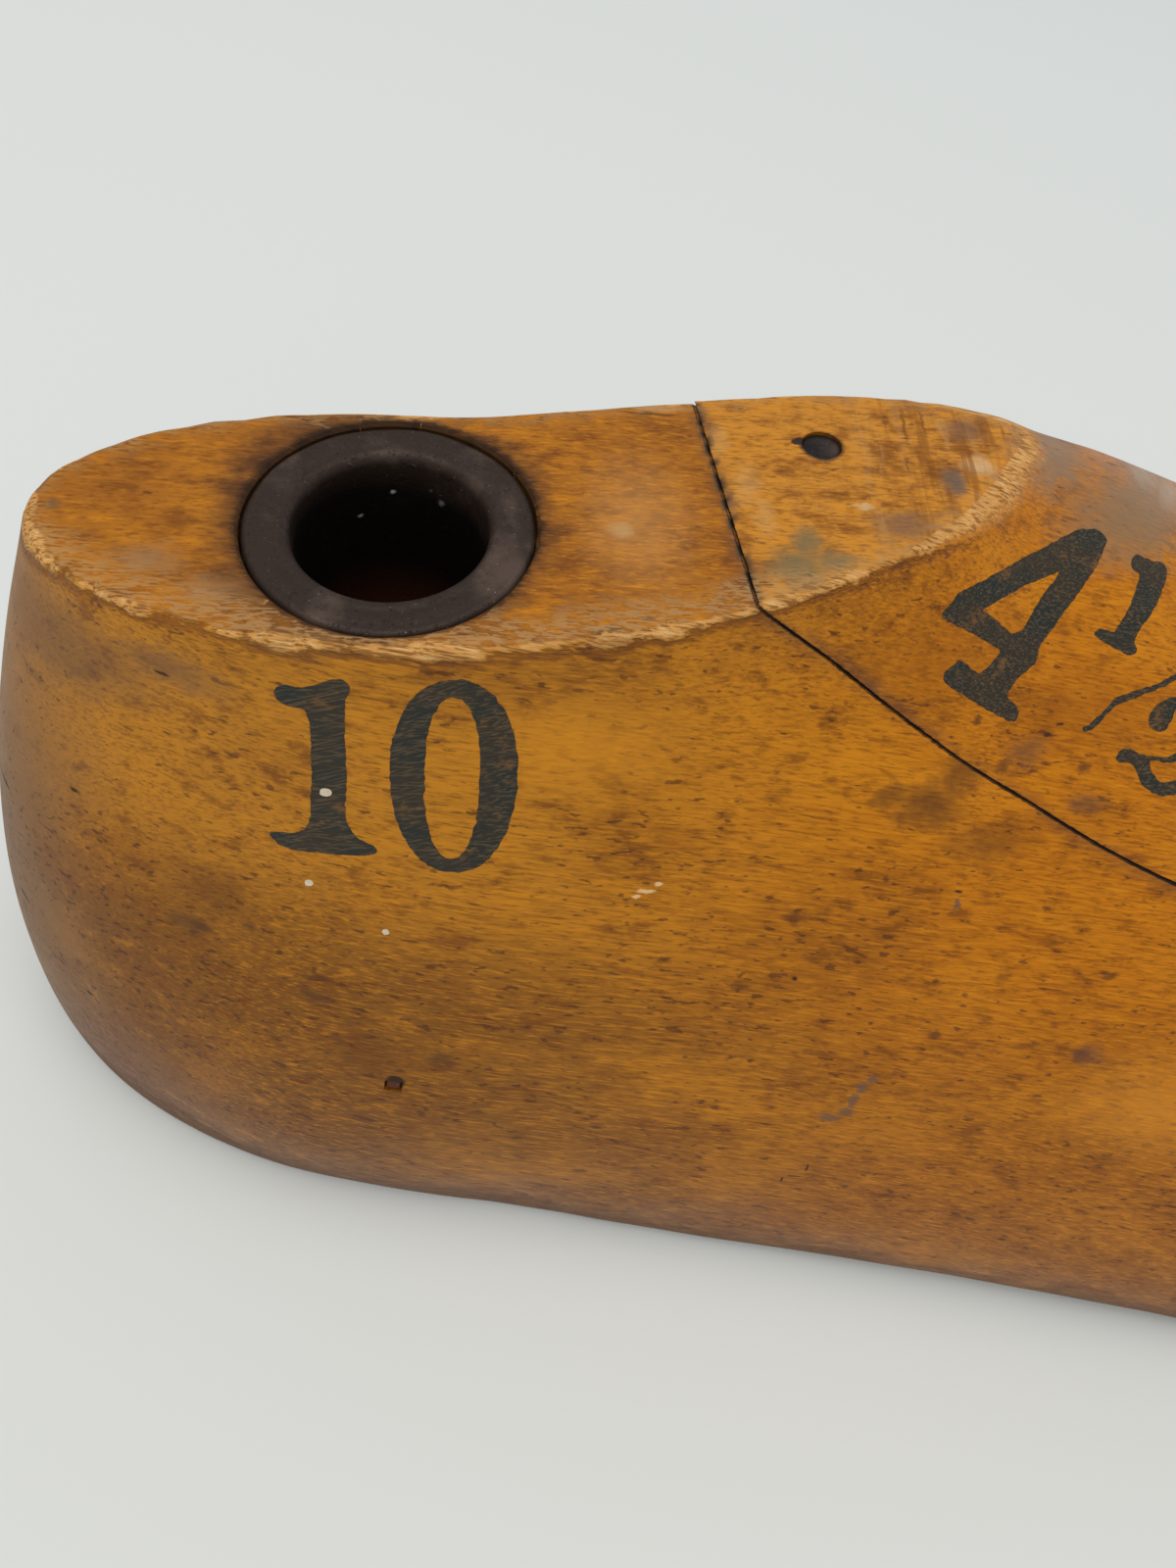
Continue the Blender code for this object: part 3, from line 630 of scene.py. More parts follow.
wood = {
    "heelColumns": 118,
    "neckColumns": 28,
    "scoopColumns": 130,
    "ballColumns": 34,
    "toeColumns": 50,
    "wallRows": 66,
    "topRows": 28,
    "soleRows": 28,
    "blockPlateColumns": 60,
    "blockCrestColumns": 110,
    "blockRows": 34,
    "near": [0, 0.12, 0.28, 0.5, 0.8, 1.2, 1.8],   # rows this close to an edge, in mm
    "rimReach": 6.0,     # how far the marks fade from each edge
    "seamReach": 3.0,
    "footReach": 9.0,
    # each worn edge: over how many points its width changes, a seed, and its width's limits in mm
    "lateralRim": (3.0, 11, 0.5, 1.7),
    "medialRim": (6.0, 12, 0.4, 0.9),
    "footEdge": (9.0, 13, 0.5, 1.1),
    "lipEdge": (2.5, 14, 0.05, 0.18),
    "blockRim": (3.0, 21, 0.35, 0.9),
    "blockLip": (2.5, 22, 0.05, 0.18),
    "blockLipLeast": 0.02,
    "blockBevel": 1.5,                # the block's rim is worn this much wider ahead
    "bevelRun": (66, 79),
    "seamEdge": 0.14,
}
plateNormal = np.array([-math.sin(lines["plateTilt"]), 0, math.cos(lines["plateTilt"])])


def jagged(count, size, seed, low, high):
    # an uneven width along an edge of this many points, which changes over about size points
    rng = np.random.default_rng(seed)
    knots = rng.uniform(0, 1, max(4, int(count / size) + 3)) ** 2
    return low + (high - low) * np.interp(np.arange(count), np.linspace(0, count, len(knots)), knots)


def wornPatches(patches, edges):
    # the unevenness first, then each worn edge in turn: edges are (points, pull, width)
    sizes = [p.shape for p in patches]
    points = weathered(np.concatenate([p.reshape(-1, 3) for p in patches]))
    for edge, pull, width in edges:
        points = wearEdge(points, weathered(edge), pull, width)
    cuts = np.cumsum([s[0] * s[1] for s in sizes])[:-1]
    return [part.reshape(s) for part, s in zip(np.split(points, cuts), sizes)], points


def edgeMarks(points, patches, sawn, rims, seams, feet):
    # how close each point is to each kind of edge, and which points lie on the saw cut's own face
    def best(edges, reach):
        near = [closeness(points, weathered(e), reach) for e in edges]
        return np.max(near or [np.zeros(len(points))], axis=0)

    onCut = [np.full(p.shape[0] * p.shape[1], float(p is patches[sawn])) for p in patches]
    onCut = np.concatenate(onCut)
    return {"rim": best(rims, wood["rimReach"]), "seam": best(seams, wood["seamReach"]),
            "foot": best(feet, wood["footReach"]), "sawn": onCut}


def lipDirections(surface, count):
    # the scoop's own forward and upright directions at each station, from its middle row
    slope = np.gradient(surface[:, wood["topRows"] // 2], axis=0)[:count]
    return slope, unit(np.stack([-slope[:, 2], 0 * slope[:, 2], slope[:, 0]], -1))


def wornSeam(edge, direction):
    # the plate's edge along the saw cut, worn by one narrow width
    return edge, np.broadcast_to(direction / 4, edge.shape), np.full(len(edge), wood["seamEdge"])


def fittingPlaces():
    # where the stud and the dowel stand in the floor of the scoop
    return [plateFrame(*fittings[k], depth=floorDepth(*fittings[k])) for k in ("stud", "dowel")]


def makeBody():
    # Grids that share their edges: on each side a wall behind the scoop, one that the scoop cuts and
    # one ahead of it, then the plate, the scoop's floor and the sole. Columns run along the last.
    tip, widest, radius, near = lines["seatTip"], lines["seatWidest"], lines["scoopRadius"], wood["near"]
    start, end = scoopEnds(radius)
    heel = widest - (widest - tip) * np.cos(np.linspace(0, math.pi / 2, wood["heelColumns"]))
    rear = np.concatenate([heel, np.linspace(widest, start, wood["neckColumns"])[1:]])
    scoop = easedRun(start, end, wood["scoopColumns"])
    ball = np.linspace(end, lines["ballEnd"], wood["ballColumns"])
    fore = np.concatenate([ball, easedRun(lines["ballEnd"], lines["length"], wood["toeColumns"])[1:]])
    foot, rim, lip, down, lipDown, footUp = {}, {}, {}, {}, {}, {}
    patches = []
    for side in (-1, 1):
        share = cutShare(scoop, side, radius)
        share[[0, -1]] = 1.0
        tops = (rear, np.ones(len(rear))), (scoop, share), (fore, np.ones(len(fore)))
        parts = [wallGrid(s, side, np.zeros(len(s)), high, near, wood["wallRows"]) for s, high in tops]
        parts[1][1:-1, -1] = layOnScoop(parts[1][1:-1, -1].copy(), radius)
        patches += parts
        rim[side], lip[side] = parts[0][:, -1], parts[1][:, -1]
        down[side] = unit(parts[0][:, -3] - rim[side])
        lipDown[side] = unit(parts[1][:, -3] - lip[side])
        along = [parts[0], parts[1][1:], parts[2][1:]]
        foot[side] = np.concatenate([p[:, 0] for p in along])
        footUp[side] = np.concatenate([unit(p[:, 2] - p[:, 0]) for p in along])
    plate, _ = across(rim[-1], rim[1], near, wood["topRows"])
    floor, _ = across(lip[-1], lip[1], near, wood["topRows"])
    floor[1:-1, 1:-1] = layOnScoop(floor[1:-1, 1:-1].copy(), radius)
    station = np.concatenate([rear, scoop[1:], fore[1:]])
    patches += [plate, floor, soleGrid(foot[-1], foot[1], station, near, wood["soleRows"])]

    rimLoop = backAndOut(rim[-1], rim[1])
    rimPull = (backAndOut(down[-1], down[1]) + inwards(rimLoop, plateNormal)) / 4
    lateral = rimLoop[:, 1] < lines["plateOffset"]
    rimWidths = [jagged(len(rimLoop), *wood[k]) for k in ("lateralRim", "medialRim")]
    footLoop = backAndOut(foot[-1], foot[1])
    footPull = (backAndOut(footUp[-1], footUp[1]) + inwards(footLoop, np.array([0.0, 0, 1]))) / 4
    lipLoop = outAndBack(lip[-1], lip[1])
    slope, normal = lipDirections(floor, len(scoop))
    lipPull = (outAndBack(lipDown[-1], lipDown[1]) + inwards(lipLoop, outAndBack(normal, normal))) / 4
    seam = plate[-1]
    back = -unit(np.cross(unit(seam[-1] - seam[0]), plateNormal))
    patches, points = wornPatches(patches, [
        (rimLoop, rimPull, np.where(lateral, *rimWidths)),
        (footLoop, footPull, jagged(len(footLoop), *wood["footEdge"])),
        (lipLoop, lipPull, jagged(len(lipLoop), *wood["lipEdge"])),
        wornSeam(seam, back * -np.sign(back[0]) + unit(slope[0])),
    ])
    marks = edgeMarks(points, patches, -2, [rimLoop], [lipLoop, seam], [footLoop])
    obj = meshFrom("last_body_wood", patches, marks)

    gap, snug, f = lines["gap"], fittings["snug"], fittings
    bore, tube, seat = f["thimbleBore"], f["thimbleTube"] + gap, f["thimbleFlange"] + snug
    flangeLow, tubeLow = -f["thimbleThick"] - gap, -f["thimbleLong"] - gap
    hole = [(0, -f["jackHoleDeep"]), (bore, -f["jackHoleDeep"]), (bore, tubeLow), (tube, tubeLow)]
    hole += [(tube, flangeLow), (seat, flangeLow), (seat, -f["seatWorn"][1])]
    hole += [(seat + f["seatWorn"][0], 0.0), (seat + f["seatFlare"], f["past"]), (0, f["past"])]
    stud, dowel = fittingPlaces()
    studLow, dowelLow = -f["studDown"] - gap, -f["dowelDown"] - gap
    wide, high = f["tackWide"] / 2 + snug, f["tackHigh"] / 2 + snug
    corners = [(-wide, -high), (wide, -high), (wide, high), (-wide, high)]
    cutOut(obj, [
        makeTurned("jackHole", hole, plateFrame(*f["thimbleAt"]), 144),
        makeTurned("studHole", rod(f["studNeck"] + gap, studLow, f["studPast"]), stud),
        makeTurned("dowelHole", rod(f["dowelRadius"] + gap, dowelLow, f["dowelPast"]), dowel, 64),
        meshFrom("tackHole", [boxGrid(corners, -f["tackLong"] - snug, f["tackPast"], tackFrame())]),
    ])
    return obj


def makeBlock():
    # Grids that share their edges: each side's wall above the saw cut, with the plate between them
    # behind and the crest where they meet ahead, and the underside, which lies along the saw cut.
    radius, near = lines["scoopRadius"] - lines["sawGap"], wood["near"]
    start, end = scoopEnds(radius)
    plateRun = easedRun(start, lines["plateEnd"], wood["blockPlateColumns"])
    crestRun = easedRun(lines["plateEnd"], end, wood["blockCrestColumns"])
    station = np.concatenate([plateRun, crestRun[1:]])
    n = len(plateRun)
    patches, rim, lip, out, lipUp = [], {}, {}, {}, {}
    for side in (-1, 1):
        share = cutShare(station, side, radius)
        share[[0, -1]] = 1.0
        grid = wallGrid(station, side, share, np.ones(len(station)), near, wood["blockRows"])
        grid[1:-1, 0] = layOnScoop(grid[1:-1, 0].copy(), radius)
        patches.append(grid)
        rim[side], lip[side] = grid[:n, -1], grid[:, 0]
        along, up = np.gradient(grid[:, -1], axis=0), grid[:, -3] - grid[:, -1]
        normal = unit(np.cross(along, up))[:n]
        outward = unit(np.cross(normal, np.gradient(rim[side], axis=0)))
        out[side] = outward * np.where(np.sum(outward * up[:n], axis=1) < 0, -1, 1)[:, None]
        lipUp[side] = unit(grid[:, 2] - grid[:, 0])
    plate, _ = across(rim[-1], rim[1], near, wood["topRows"])
    under, _ = across(lip[-1], lip[1], near, wood["topRows"])
    under[1:-1, 1:-1] = layOnScoop(under[1:-1, 1:-1].copy(), radius)
    patches += [plate, under]

    rimLoop = outAndBack(rim[-1], rim[1])
    rimPull = (outAndBack(out[-1], out[1]) + inwards(rimLoop, plateNormal)) / 4
    bevel = ease(*wood["bevelRun"], outAndBack(plateRun, plateRun))
    lipLoop = outAndBack(lip[-1], lip[1])
    slope, normal = lipDirections(under, len(station))
    lipPull = (outAndBack(lipUp[-1], lipUp[1]) + inwards(lipLoop, outAndBack(normal, normal))) / 4
    lipWidth = jagged(len(lipLoop), *wood["blockLip"])
    lipWidth = raised(lipWidth, (start, start + 3, end - 4, end), outAndBack(station, station))
    seam = plate[0]
    patches, points = wornPatches(patches, [
        (rimLoop, rimPull, jagged(len(rimLoop), *wood["blockRim"]) + wood["blockBevel"] * bevel),
        (lipLoop, lipPull, wood["blockLipLeast"] + lipWidth),
        wornSeam(seam, np.array([1.0, 0, 0]) + unit(slope[1])),
    ])
    marks = edgeMarks(points, patches, -1, [rimLoop], [lipLoop, seam], [])
    obj = meshFrom("instep_block_wood", patches, marks)

    gap, room, f = lines["gap"], fittings["headroom"], fittings
    stud, dowel = fittingPlaces()
    studTop, dowelTop = f["studUp"] + room, f["dowelUp"] + room
    bend, spread = springWidths()
    behind, ahead, beside, wider = f["slotRoom"]
    back, front = -bend - behind, f["springReach"] + ahead
    nearWide, farWide = bend + beside, spread + wider
    corners = [(back, -nearWide), (front, -farWide), (front, farWide), (back, nearWide)]
    pinHole = rod(f["pinSpread"] + f["pinRoom"], -f["pinLong"] - f["pinHolePast"], f["past"])
    cutOut(obj, [
        makeTurned("studRoom", rod(f["studHead"] + f["studRoom"], -f["studPast"], studTop), stud, 56),
        makeTurned("dowelRoom", rod(f["dowelRadius"] + gap, -f["dowelPast"], dowelTop), dowel, 64),
        makeTurned("pinHole", pinHole, plateFrame(*f["pin"])),
        meshFrom("springSlot", [boxGrid(corners, *f["slotLevels"], springFrame())]),
    ])
    return obj


# The CAD's last_body and instep_block in worn wood.
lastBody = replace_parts(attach(makeBody(), "last"), "last_body")
print("body", len(lastBody.data.polygons))
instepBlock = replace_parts(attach(makeBlock(), "block"), "instep_block")
print("block", len(instepBlock.data.polygons))


def arc(middle, radius, first, last, count):
    # points on a circle, from one angle to another in degrees
    turn = np.radians(np.linspace(first, last, count))
    return np.stack([middle[0] + radius * np.cos(turn), middle[1] + radius * np.sin(turn)], -1)


def makeThimble():
    # a flange with a rounded edge, a funnel lip and a long tube, in one closed profile
    f, lip, edge = fittings, fittings["thimbleLip"], fittings["thimbleEdge"]
    outer, inner, high, fall = f["thimbleCrown"]
    profile = np.concatenate([
        [(f["thimbleFlange"], -f["thimbleThick"])],
        arc((f["thimbleFlange"] - edge, -edge), edge, 0, 90, 7),
        np.stack([np.linspace(outer, inner, 7), high - fall * np.linspace(1, -1, 7) ** 2], -1),
        arc((f["thimbleBore"] + lip, -lip), lip, 90, 180, 15),
        np.stack([np.full(12, f["thimbleBore"]), np.linspace(-lip - 1, -f["thimbleLong"], 12)], -1),
        [(f["thimbleTube"], -f["thimbleLong"]), (f["thimbleTube"], -f["thimbleThick"])],
        [(f["thimbleFlange"], -f["thimbleThick"])],
    ])
    place = plateFrame(*f["thimbleAt"])
    points = turnedGrid(profile, np.eye(4), 144)
    radius = np.hypot(points[..., 0], points[..., 1])
    top = ease(-1.2, -0.2, points[..., 2]) * ease(f["thimbleBore"] + 0.2, f["thimbleBore"] + 1.2, radius)
    # beaten and worn, a little under the plate
    points[..., 2] += (f["thimbleWaves"] * waves(points, 5, 31) - f["thimbleSunk"]) * top
    return meshFrom("steel_thimble", [placed(points, place)])


def makeStud():
    f, edge = fittings, fittings["studEdge"]
    head = arc((f["studHead"] - edge, f["studUp"] - edge), edge, 0, 90, 7)
    neck = f["studUp"] - f["studHeadHigh"]
    low = [(0, -f["studDown"]), (f["studNeck"], -f["studDown"])]
    low += [(f["studNeck"], neck - f["studCone"]), (f["studHead"], neck)]
    return makeTurned("steel_stud", np.concatenate([low, head, [(0, f["studUp"])]]), fittingPlaces()[0])


def makeDowel():
    f, edge = fittings, fittings["dowelEdge"]
    top = arc((f["dowelRadius"] - edge, f["dowelUp"] - edge), edge, 0, 90, 7)
    low = [(0, -f["dowelDown"]), (f["dowelRadius"], -f["dowelDown"])]
    profile = np.concatenate([low, top, [(0, f["dowelUp"])]])
    return makeTurned("wood_dowel", profile, fittingPlaces()[1], 64)


def makePin():
    # its end is peened over, nearly flush with the plate: a low dome on a spread rim
    f, radius, spread = fittings, fittings["pinRadius"], fittings["pinSpread"]
    low, high = f["pinFlare"]
    shank = [(0, -f["pinLong"]), (radius, -f["pinLong"]), (radius, -low), (spread, -high)]
    first = math.degrees(math.acos(spread / f["pinDome"]))
    dome = arc((0, -f["pinDome"] - f["pinSunk"]), f["pinDome"], first, 90, 8)
    return makeTurned("steel_pin", np.concatenate([shank, dome]), plateFrame(*f["pin"]))


def makeSpring():
    # a hairpin: one leg, half a turn round the pin, and the other leg
    f = fittings
    bend, spread = springWidths()
    u = np.linspace(1, f["legStart"], 24)
    leg = np.stack([f["springReach"] * u, bend + (spread - bend) * ease(0, f["legSpread"], u), 0 * u], -1)
    turn = np.linspace(0, math.pi, 30)
    half = np.stack([-bend * np.sin(turn), bend * np.cos(turn), 0 * turn], -1)
    path = np.concatenate([leg, half, leg[::-1] * (1, -1, 1)])
    return meshFrom("steel_hairpin", [placed(tubeGrid(path, f["wireRadius"], 20), springFrame())])


def makeTack():
    # A square shank with softened corners: x = a |cos|^(1/3), y = b |sin|^(1/3), broken off unevenly.
    # A level is the half sizes a and b, and a height: first the point, then the broken end.
    f, around, power = fittings, 41, 0.33
    turn = np.linspace(0, 2 * math.pi, around)
    c, s = np.cos(turn), np.sin(turn)
    corner = np.stack([np.sign(c) * np.abs(c) ** power, np.sign(s) * np.abs(s) ** power], -1)
    corner[-1] = corner[0]
    wide, high, long, sunk = f["tackWide"] / 2, f["tackHigh"] / 2, f["tackLong"], f["tackSunk"]
    levels = [(0, 0, -long), (0.2, 0.15, -long), (wide, high, -long * 0.55)]
    for share, under in ((1, 0.12), (0.86, 0), (0.4, 0.05), (0, 0.1)):
        levels.append((share * wide, share * high, -sunk - under))
    rings = [np.concatenate([corner * (a, b), np.full((around, 1), z)], axis=1) for a, b, z in levels]
    return meshFrom("steel_tack", [placed(np.stack(rings), tackFrame())])


# Each fitting's node, its function, its body and its material slot.
fitted = {
    "thimble": (makeThimble, "last", "browned_steel"),
    "tack_stub": (makeTack, "last", "steel_wire"),
    "block_stud": (makeStud, "last", "steel_wire"),
    "guide_dowel": (makeDowel, "last", "birch_dowel"),
    "catch_spring": (makeSpring, "block", "steel_wire"),
    "spring_pin": (makePin, "block", "steel_wire"),
}
pieces = {}
for node, (make, body, slot) in fitted.items():
    pieces[node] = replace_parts(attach(make(), body), node)
print("fittings", sorted(pieces))


def wallShare(station, side, height):
    # how far up its wall, from 0 to 1, a section reaches this height above the seat
    t = np.linspace(0, 1, 401)
    heights = weathered(wall(np.array([station]), side, t[None]))[0, :, 2]
    return float(np.interp(height, heights, t))


def wallPlace(station, side, height, turn=0.0):
    # a place on the wall: X along the last, turned by this many degrees, Y up the wall, Z outwards
    t = wallShare(station, side, height)
    here = wall(np.array([station, station + 0.5]), side, np.array([[t, t + 0.01]] * 2))
    out = unit(np.cross(here[1, 0] - here[0, 0], here[0, 1] - here[0, 0])) * -side
    ahead = unit(np.array([1.0, 0, 0]) - out * out[0])
    up = np.cross(out, ahead)
    c, s = math.cos(math.radians(turn)), math.sin(math.radians(turn))
    place = np.eye(4)
    place[:3, :3] = np.stack([ahead * c + up * s, up * c - ahead * s, out], -1)
    place[:3, 3] = weathered(here[0, 0])
    return place, t


def underStencil(flat, station, side, height, turn):
    # where flat points land on the wall, straight along the stencil's Z, by Newton's method on
    # the station and the share; gives the points and the wall's own outward directions there
    place, t = wallPlace(station, side, height, turn)
    uv = np.stack([np.full(len(flat), float(station)), np.full(len(flat), t)], -1)

    def seen(q):
        return (weathered(wall(q[:, 0], side, q[:, 1:])[:, 0]) - place[:3, 3]) @ place[:3, :3]

    for _ in range(14):
        at = seen(uv)
        byStation = (seen(uv + (0.02, 0)) - at)[:, :2] / 0.02
        byShare = (seen(uv + (0, 0.002)) - at)[:, :2] / 0.002
        miss = flat - at[:, :2]
        det = byStation[:, 0] * byShare[:, 1] - byStation[:, 1] * byShare[:, 0]
        ds = (miss[:, 0] * byShare[:, 1] - miss[:, 1] * byShare[:, 0]) / det
        dt = (byStation[:, 0] * miss[:, 1] - byStation[:, 1] * miss[:, 0]) / det
        uv += np.stack([np.clip(ds, -2.5, 2.5), np.clip(dt, -0.06, 0.06)], -1)
        uv[:, 1] = np.clip(uv[:, 1], 0.0, 0.995)
    at = seen(uv)
    byStation, byShare = seen(uv + (0.02, 0)) - at, seen(uv + (0, 0.002)) - at
    out = unit(np.cross(byStation, byShare))
    out *= np.sign(out[:, 2:])
    print("stencil misses by", float(np.abs(at[:, :2] - flat).max()))
    return placed(at, place), out @ place[:3, :3].T


def oval(middle, wide, high, power, turn, count=120):
    # a superellipse: x = a |cos|^(2/p), y = b |sin|^(2/p), leaned over by a turn in degrees
    a = np.linspace(0, 2 * math.pi, count, endpoint=False)
    c, s = np.cos(a), np.sin(a)
    x = wide / 2 * np.sign(c) * np.abs(c) ** (2 / power)
    y = high / 2 * np.sign(s) * np.abs(s) ** (2 / power)
    ct, st = math.cos(math.radians(turn)), math.sin(math.radians(turn))
    return np.stack([middle[0] + x * ct - y * st, middle[1] + x * st + y * ct], -1)


def softened(corners, cut=0.7):
    # a closed outline with each corner turned into a short quadratic curve
    p = np.asarray(corners, float)

    def near(way):
        long = np.maximum(np.linalg.norm(way, axis=1), 1e-9)
        return p + way * np.minimum(0.5, cut / long)[:, None]

    a, b = near(np.roll(p, 1, axis=0) - p), near(np.roll(p, -1, axis=0) - p)
    t = np.linspace(0, 1, 6)[:, None, None]
    return np.swapaxes((1 - t) ** 2 * a + 2 * t * (1 - t) * p + t * t * b, 0, 1).reshape(-1, 2)


def evenly(outline, step):
    # the same closed outline with a point at every step
    ring = np.concatenate([outline, outline[:1]])
    run = np.concatenate([[0], np.cumsum(np.linalg.norm(np.diff(ring, axis=0), axis=1))])
    at = np.linspace(0, run[-1], max(8, int(run[-1] / step)), endpoint=False)
    return np.stack([np.interp(at, run, ring[:, k]) for k in (0, 1)], -1)


def insideOf(points, outlines):
    # inside an odd number of outlines: an outline within another is a hole
    inside = np.zeros(len(points), bool)
    for ring in outlines:
        a, b = ring, np.roll(ring, -1, axis=0)
        y = points[:, 1, None]
        run, rise = (b - a).T
        rise = np.where(np.abs(rise) < 1e-12, 1e-12, rise)
        crossed = (a[:, 1] > y) != (b[:, 1] > y)
        crossed &= points[:, :1] < a[:, 0] + (y - a[:, 1]) / rise * run
        inside ^= crossed.sum(1) % 2 == 1
    return inside


def inkedShape(name, outlines, where, look, seed):
    # a thin closed layer of paint on the wall: flat outlines filled with triangles, laid on the wood
    rng = np.random.default_rng(seed)
    rings = []
    for ring in outlines:
        ring = evenly(ring, look["step"])
        rough = rng.normal(size=ring.shape)
        rough = (rough + np.roll(rough, 1, axis=0) + np.roll(rough, -1, axis=0)) / 3
        rings.append(ring + rough * look["rough"])
    flat = np.concatenate(rings)
    spans = [np.arange(a, b, look["fill"]) for a, b in zip(flat.min(0), flat.max(0))]
    grid = np.stack(np.meshgrid(*spans, indexing="ij"), -1).reshape(-1, 2)
    grid = grid[insideOf(grid, rings)]
    near = np.linalg.norm(grid[:, None] - flat[None, ::2], axis=-1).min(1)
    grid = grid[near > look["fill"] * 0.6]
    edges, start = [], 0
    for ring in rings:
        edges += [(start + k, start + (k + 1) % len(ring)) for k in range(len(ring))]
        start += len(ring)
    corners = [Vector(p) for p in np.concatenate([flat, grid])]
    points, _, faces, *_ = delaunay_2d_cdt(corners, edges, [], 0, 1e-6)
    points, faces = np.array([tuple(p) for p in points]), np.array([tuple(f) for f in faces])
    faces = faces[insideOf(points[faces].mean(1), rings)]
    used, faces = np.unique(faces, return_inverse=True)
    points, faces = points[used], faces.reshape(-1, 3)
    side = points[faces]
    turned = np.cross(side[:, 1] - side[:, 0], side[:, 2] - side[:, 0]) < 0
    faces[turned] = faces[turned][:, ::-1]
    pairs = np.concatenate([faces[:, [0, 1]], faces[:, [1, 2]], faces[:, [2, 0]]])
    known = {tuple(p) for p in pairs.tolist()}
    border = np.array([p for p in known if (p[1], p[0]) not in known])
    on, out = underStencil(points, *where)
    n = len(points)
    solid = toRow(np.concatenate([on + out * look["above"], on - out * look["below"]]))
    walls = np.stack([border[:, 1], border[:, 0], border[:, 0] + n, border[:, 1] + n], -1)
    mesh = bpy.data.meshes.new(name)
    mesh.from_pydata(solid, [], faces.tolist() + (faces[:, ::-1] + n).tolist() + walls.tolist())
    mesh.shade_smooth()
    mesh.set_sharp_from_angle(angle=math.radians(50))
    return putInScene(name, mesh)


# The numerals, in millimetres on a flat stencil laid against the wall, and how their ink lies.
stencil = {
    "step": 0.14,
    "fill": 0.45,
    "rough": 0.055,
    "above": 0.02,
    "below": 0.2,
    "ten": (35.2, -1, 51.0, -1.7),      # station, side, height above the seat, turn in degrees
    "half": (79.3, -1, 58.3, -14.0),
    # how far from each corner an outline's curve starts
    "halfCuts": {"four": 0.5, "fourInside": 0.25, "smallOne": 0.4, "slash": 0.5, "smallTwo": 0.6},
    "one": [(-8.0, 4.6), (-7.5, 5.4), (-6.2, 5.3), (-5.1, 6.1), (-4.2, 6.7), (-3.2, 6.5), (-3.5, 5.2),
            (-3.4, 3.2), (-3.0, 0.0), (-2.6, -4.7), (-1.8, -5.9), (-0.3, -6.2), (-0.3, -7.0),
            (-2.8, -7.6), (-6.6, -8.2), (-7.9, -7.1), (-5.6, -6.5), (-4.9, -5.5), (-5.2, -0.7),
            (-5.5, 2.5), (-5.8, 3.9), (-7.5, 3.7)],
    "zero": [((3.95, 0.3), 8.3, 15.3, 2.15, 8.0), ((3.85, 0.2), 3.6, 12.8, 2.3, 7.5)],
    "four": [(2.5, 9.0), (4.1, 9.7), (5.2, 9.3), (4.7, 6.8), (3.6, 3.8), (2.1, -0.6), (2.5, -1.4),
             (1.7, -2.6), (0.9, -4.2), (1.0, -4.8), (2.5, -5.2), (2.7, -6.0), (2.0, -6.3), (-1.8, -6.2),
             (-4.9, -5.9), (-5.2, -5.4), (-4.4, -4.0), (-3.7, -4.0), (-2.9, -4.3), (-2.1, -4.2),
             (-1.4, -2.9), (-1.0, -2.0), (-4.3, -2.0), (-7.6, -2.1), (-6.8, 0.0), (-3.8, 2.9),
             (0.2, 6.7)],
    "fourInside": [(-4.2, -0.2), (-1.1, 2.9), (1.8, 5.3), (0.8, 2.7), (0.2, 0.0), (-0.7, -0.6),
                   (-2.3, -0.3)],
    "smallOne": [(7.6, 8.4), (7.8, 9.2), (8.4, 9.4), (9.2, 9.3), (10.3, 9.7), (11.1, 9.6), (11.2, 8.6),
                 (10.7, 6.0), (9.7, 3.6), (9.7, 2.9), (10.4, 2.3), (9.7, 1.8), (8.3, 1.9), (6.3, 2.0),
                 (6.2, 2.5), (7.0, 2.9), (7.9, 3.0), (8.4, 5.1), (8.7, 7.6), (8.6, 8.0), (8.0, 8.0)],
    "slash": [(7.9, -4.8), (8.7, -3.8), (9.3, -2.6), (9.8, -1.5), (10.7, -0.7), (12.8, 0.8), (14.3, 2.3),
              (16.2, 3.9), (16.3, 3.6), (14.4, 1.8), (12.8, 0.2), (11.2, -1.0), (10.1, -1.9), (9.3, -3.6),
              (8.7, -4.6)],
    "smallTwo": [(13.1, -1.8), (13.2, -0.9), (13.9, -0.1), (15.0, 0.6), (16.6, 0.9), (18.2, 0.2),
                 (18.8, -1.4), (18.2, -3.0), (16.6, -4.2), (14.4, -4.7), (15.2, -5.5), (16.2, -6.0),
                 (17.4, -5.4), (18.5, -4.4), (18.7, -4.8), (18.0, -6.2), (16.8, -6.9), (15.6, -6.9),
                 (14.6, -6.6), (13.7, -5.8), (12.9, -5.4), (12.1, -5.9), (11.5, -5.6), (11.9, -4.8),
                 (12.5, -4.5), (13.6, -4.6), (16.0, -4.0), (17.0, -2.8), (17.2, -1.3), (16.7, 0.0),
                 (15.6, 0.3), (15.0, -0.4), (15.1, -1.5), (14.8, -2.3), (14.1, -2.6), (13.4, -2.4)],
}


def makeNumerals():
    s = stencil
    ten = [softened(s["one"])] + [oval(*look) for look in s["zero"]]
    half = [softened(s[k], cut) for k, cut in s["halfCuts"].items()]
    shapes = ("stencilled_ten", ten, s["ten"], s, 41), ("stencilled_four_half", half, s["half"], s, 42)
    return [inkedShape(*shape) for shape in shapes]


# Dried specks of white paint: station, height above the seat, and width in millimetres.
specks = {"step": 0.12, "fill": 0.3, "rough": 0.05, "above": 0.07, "below": 0.1,
          "places": [(31.1, 48.6, 0.72), (30.5, 40.9, 0.62), (35.8, 38.5, 0.5)]}


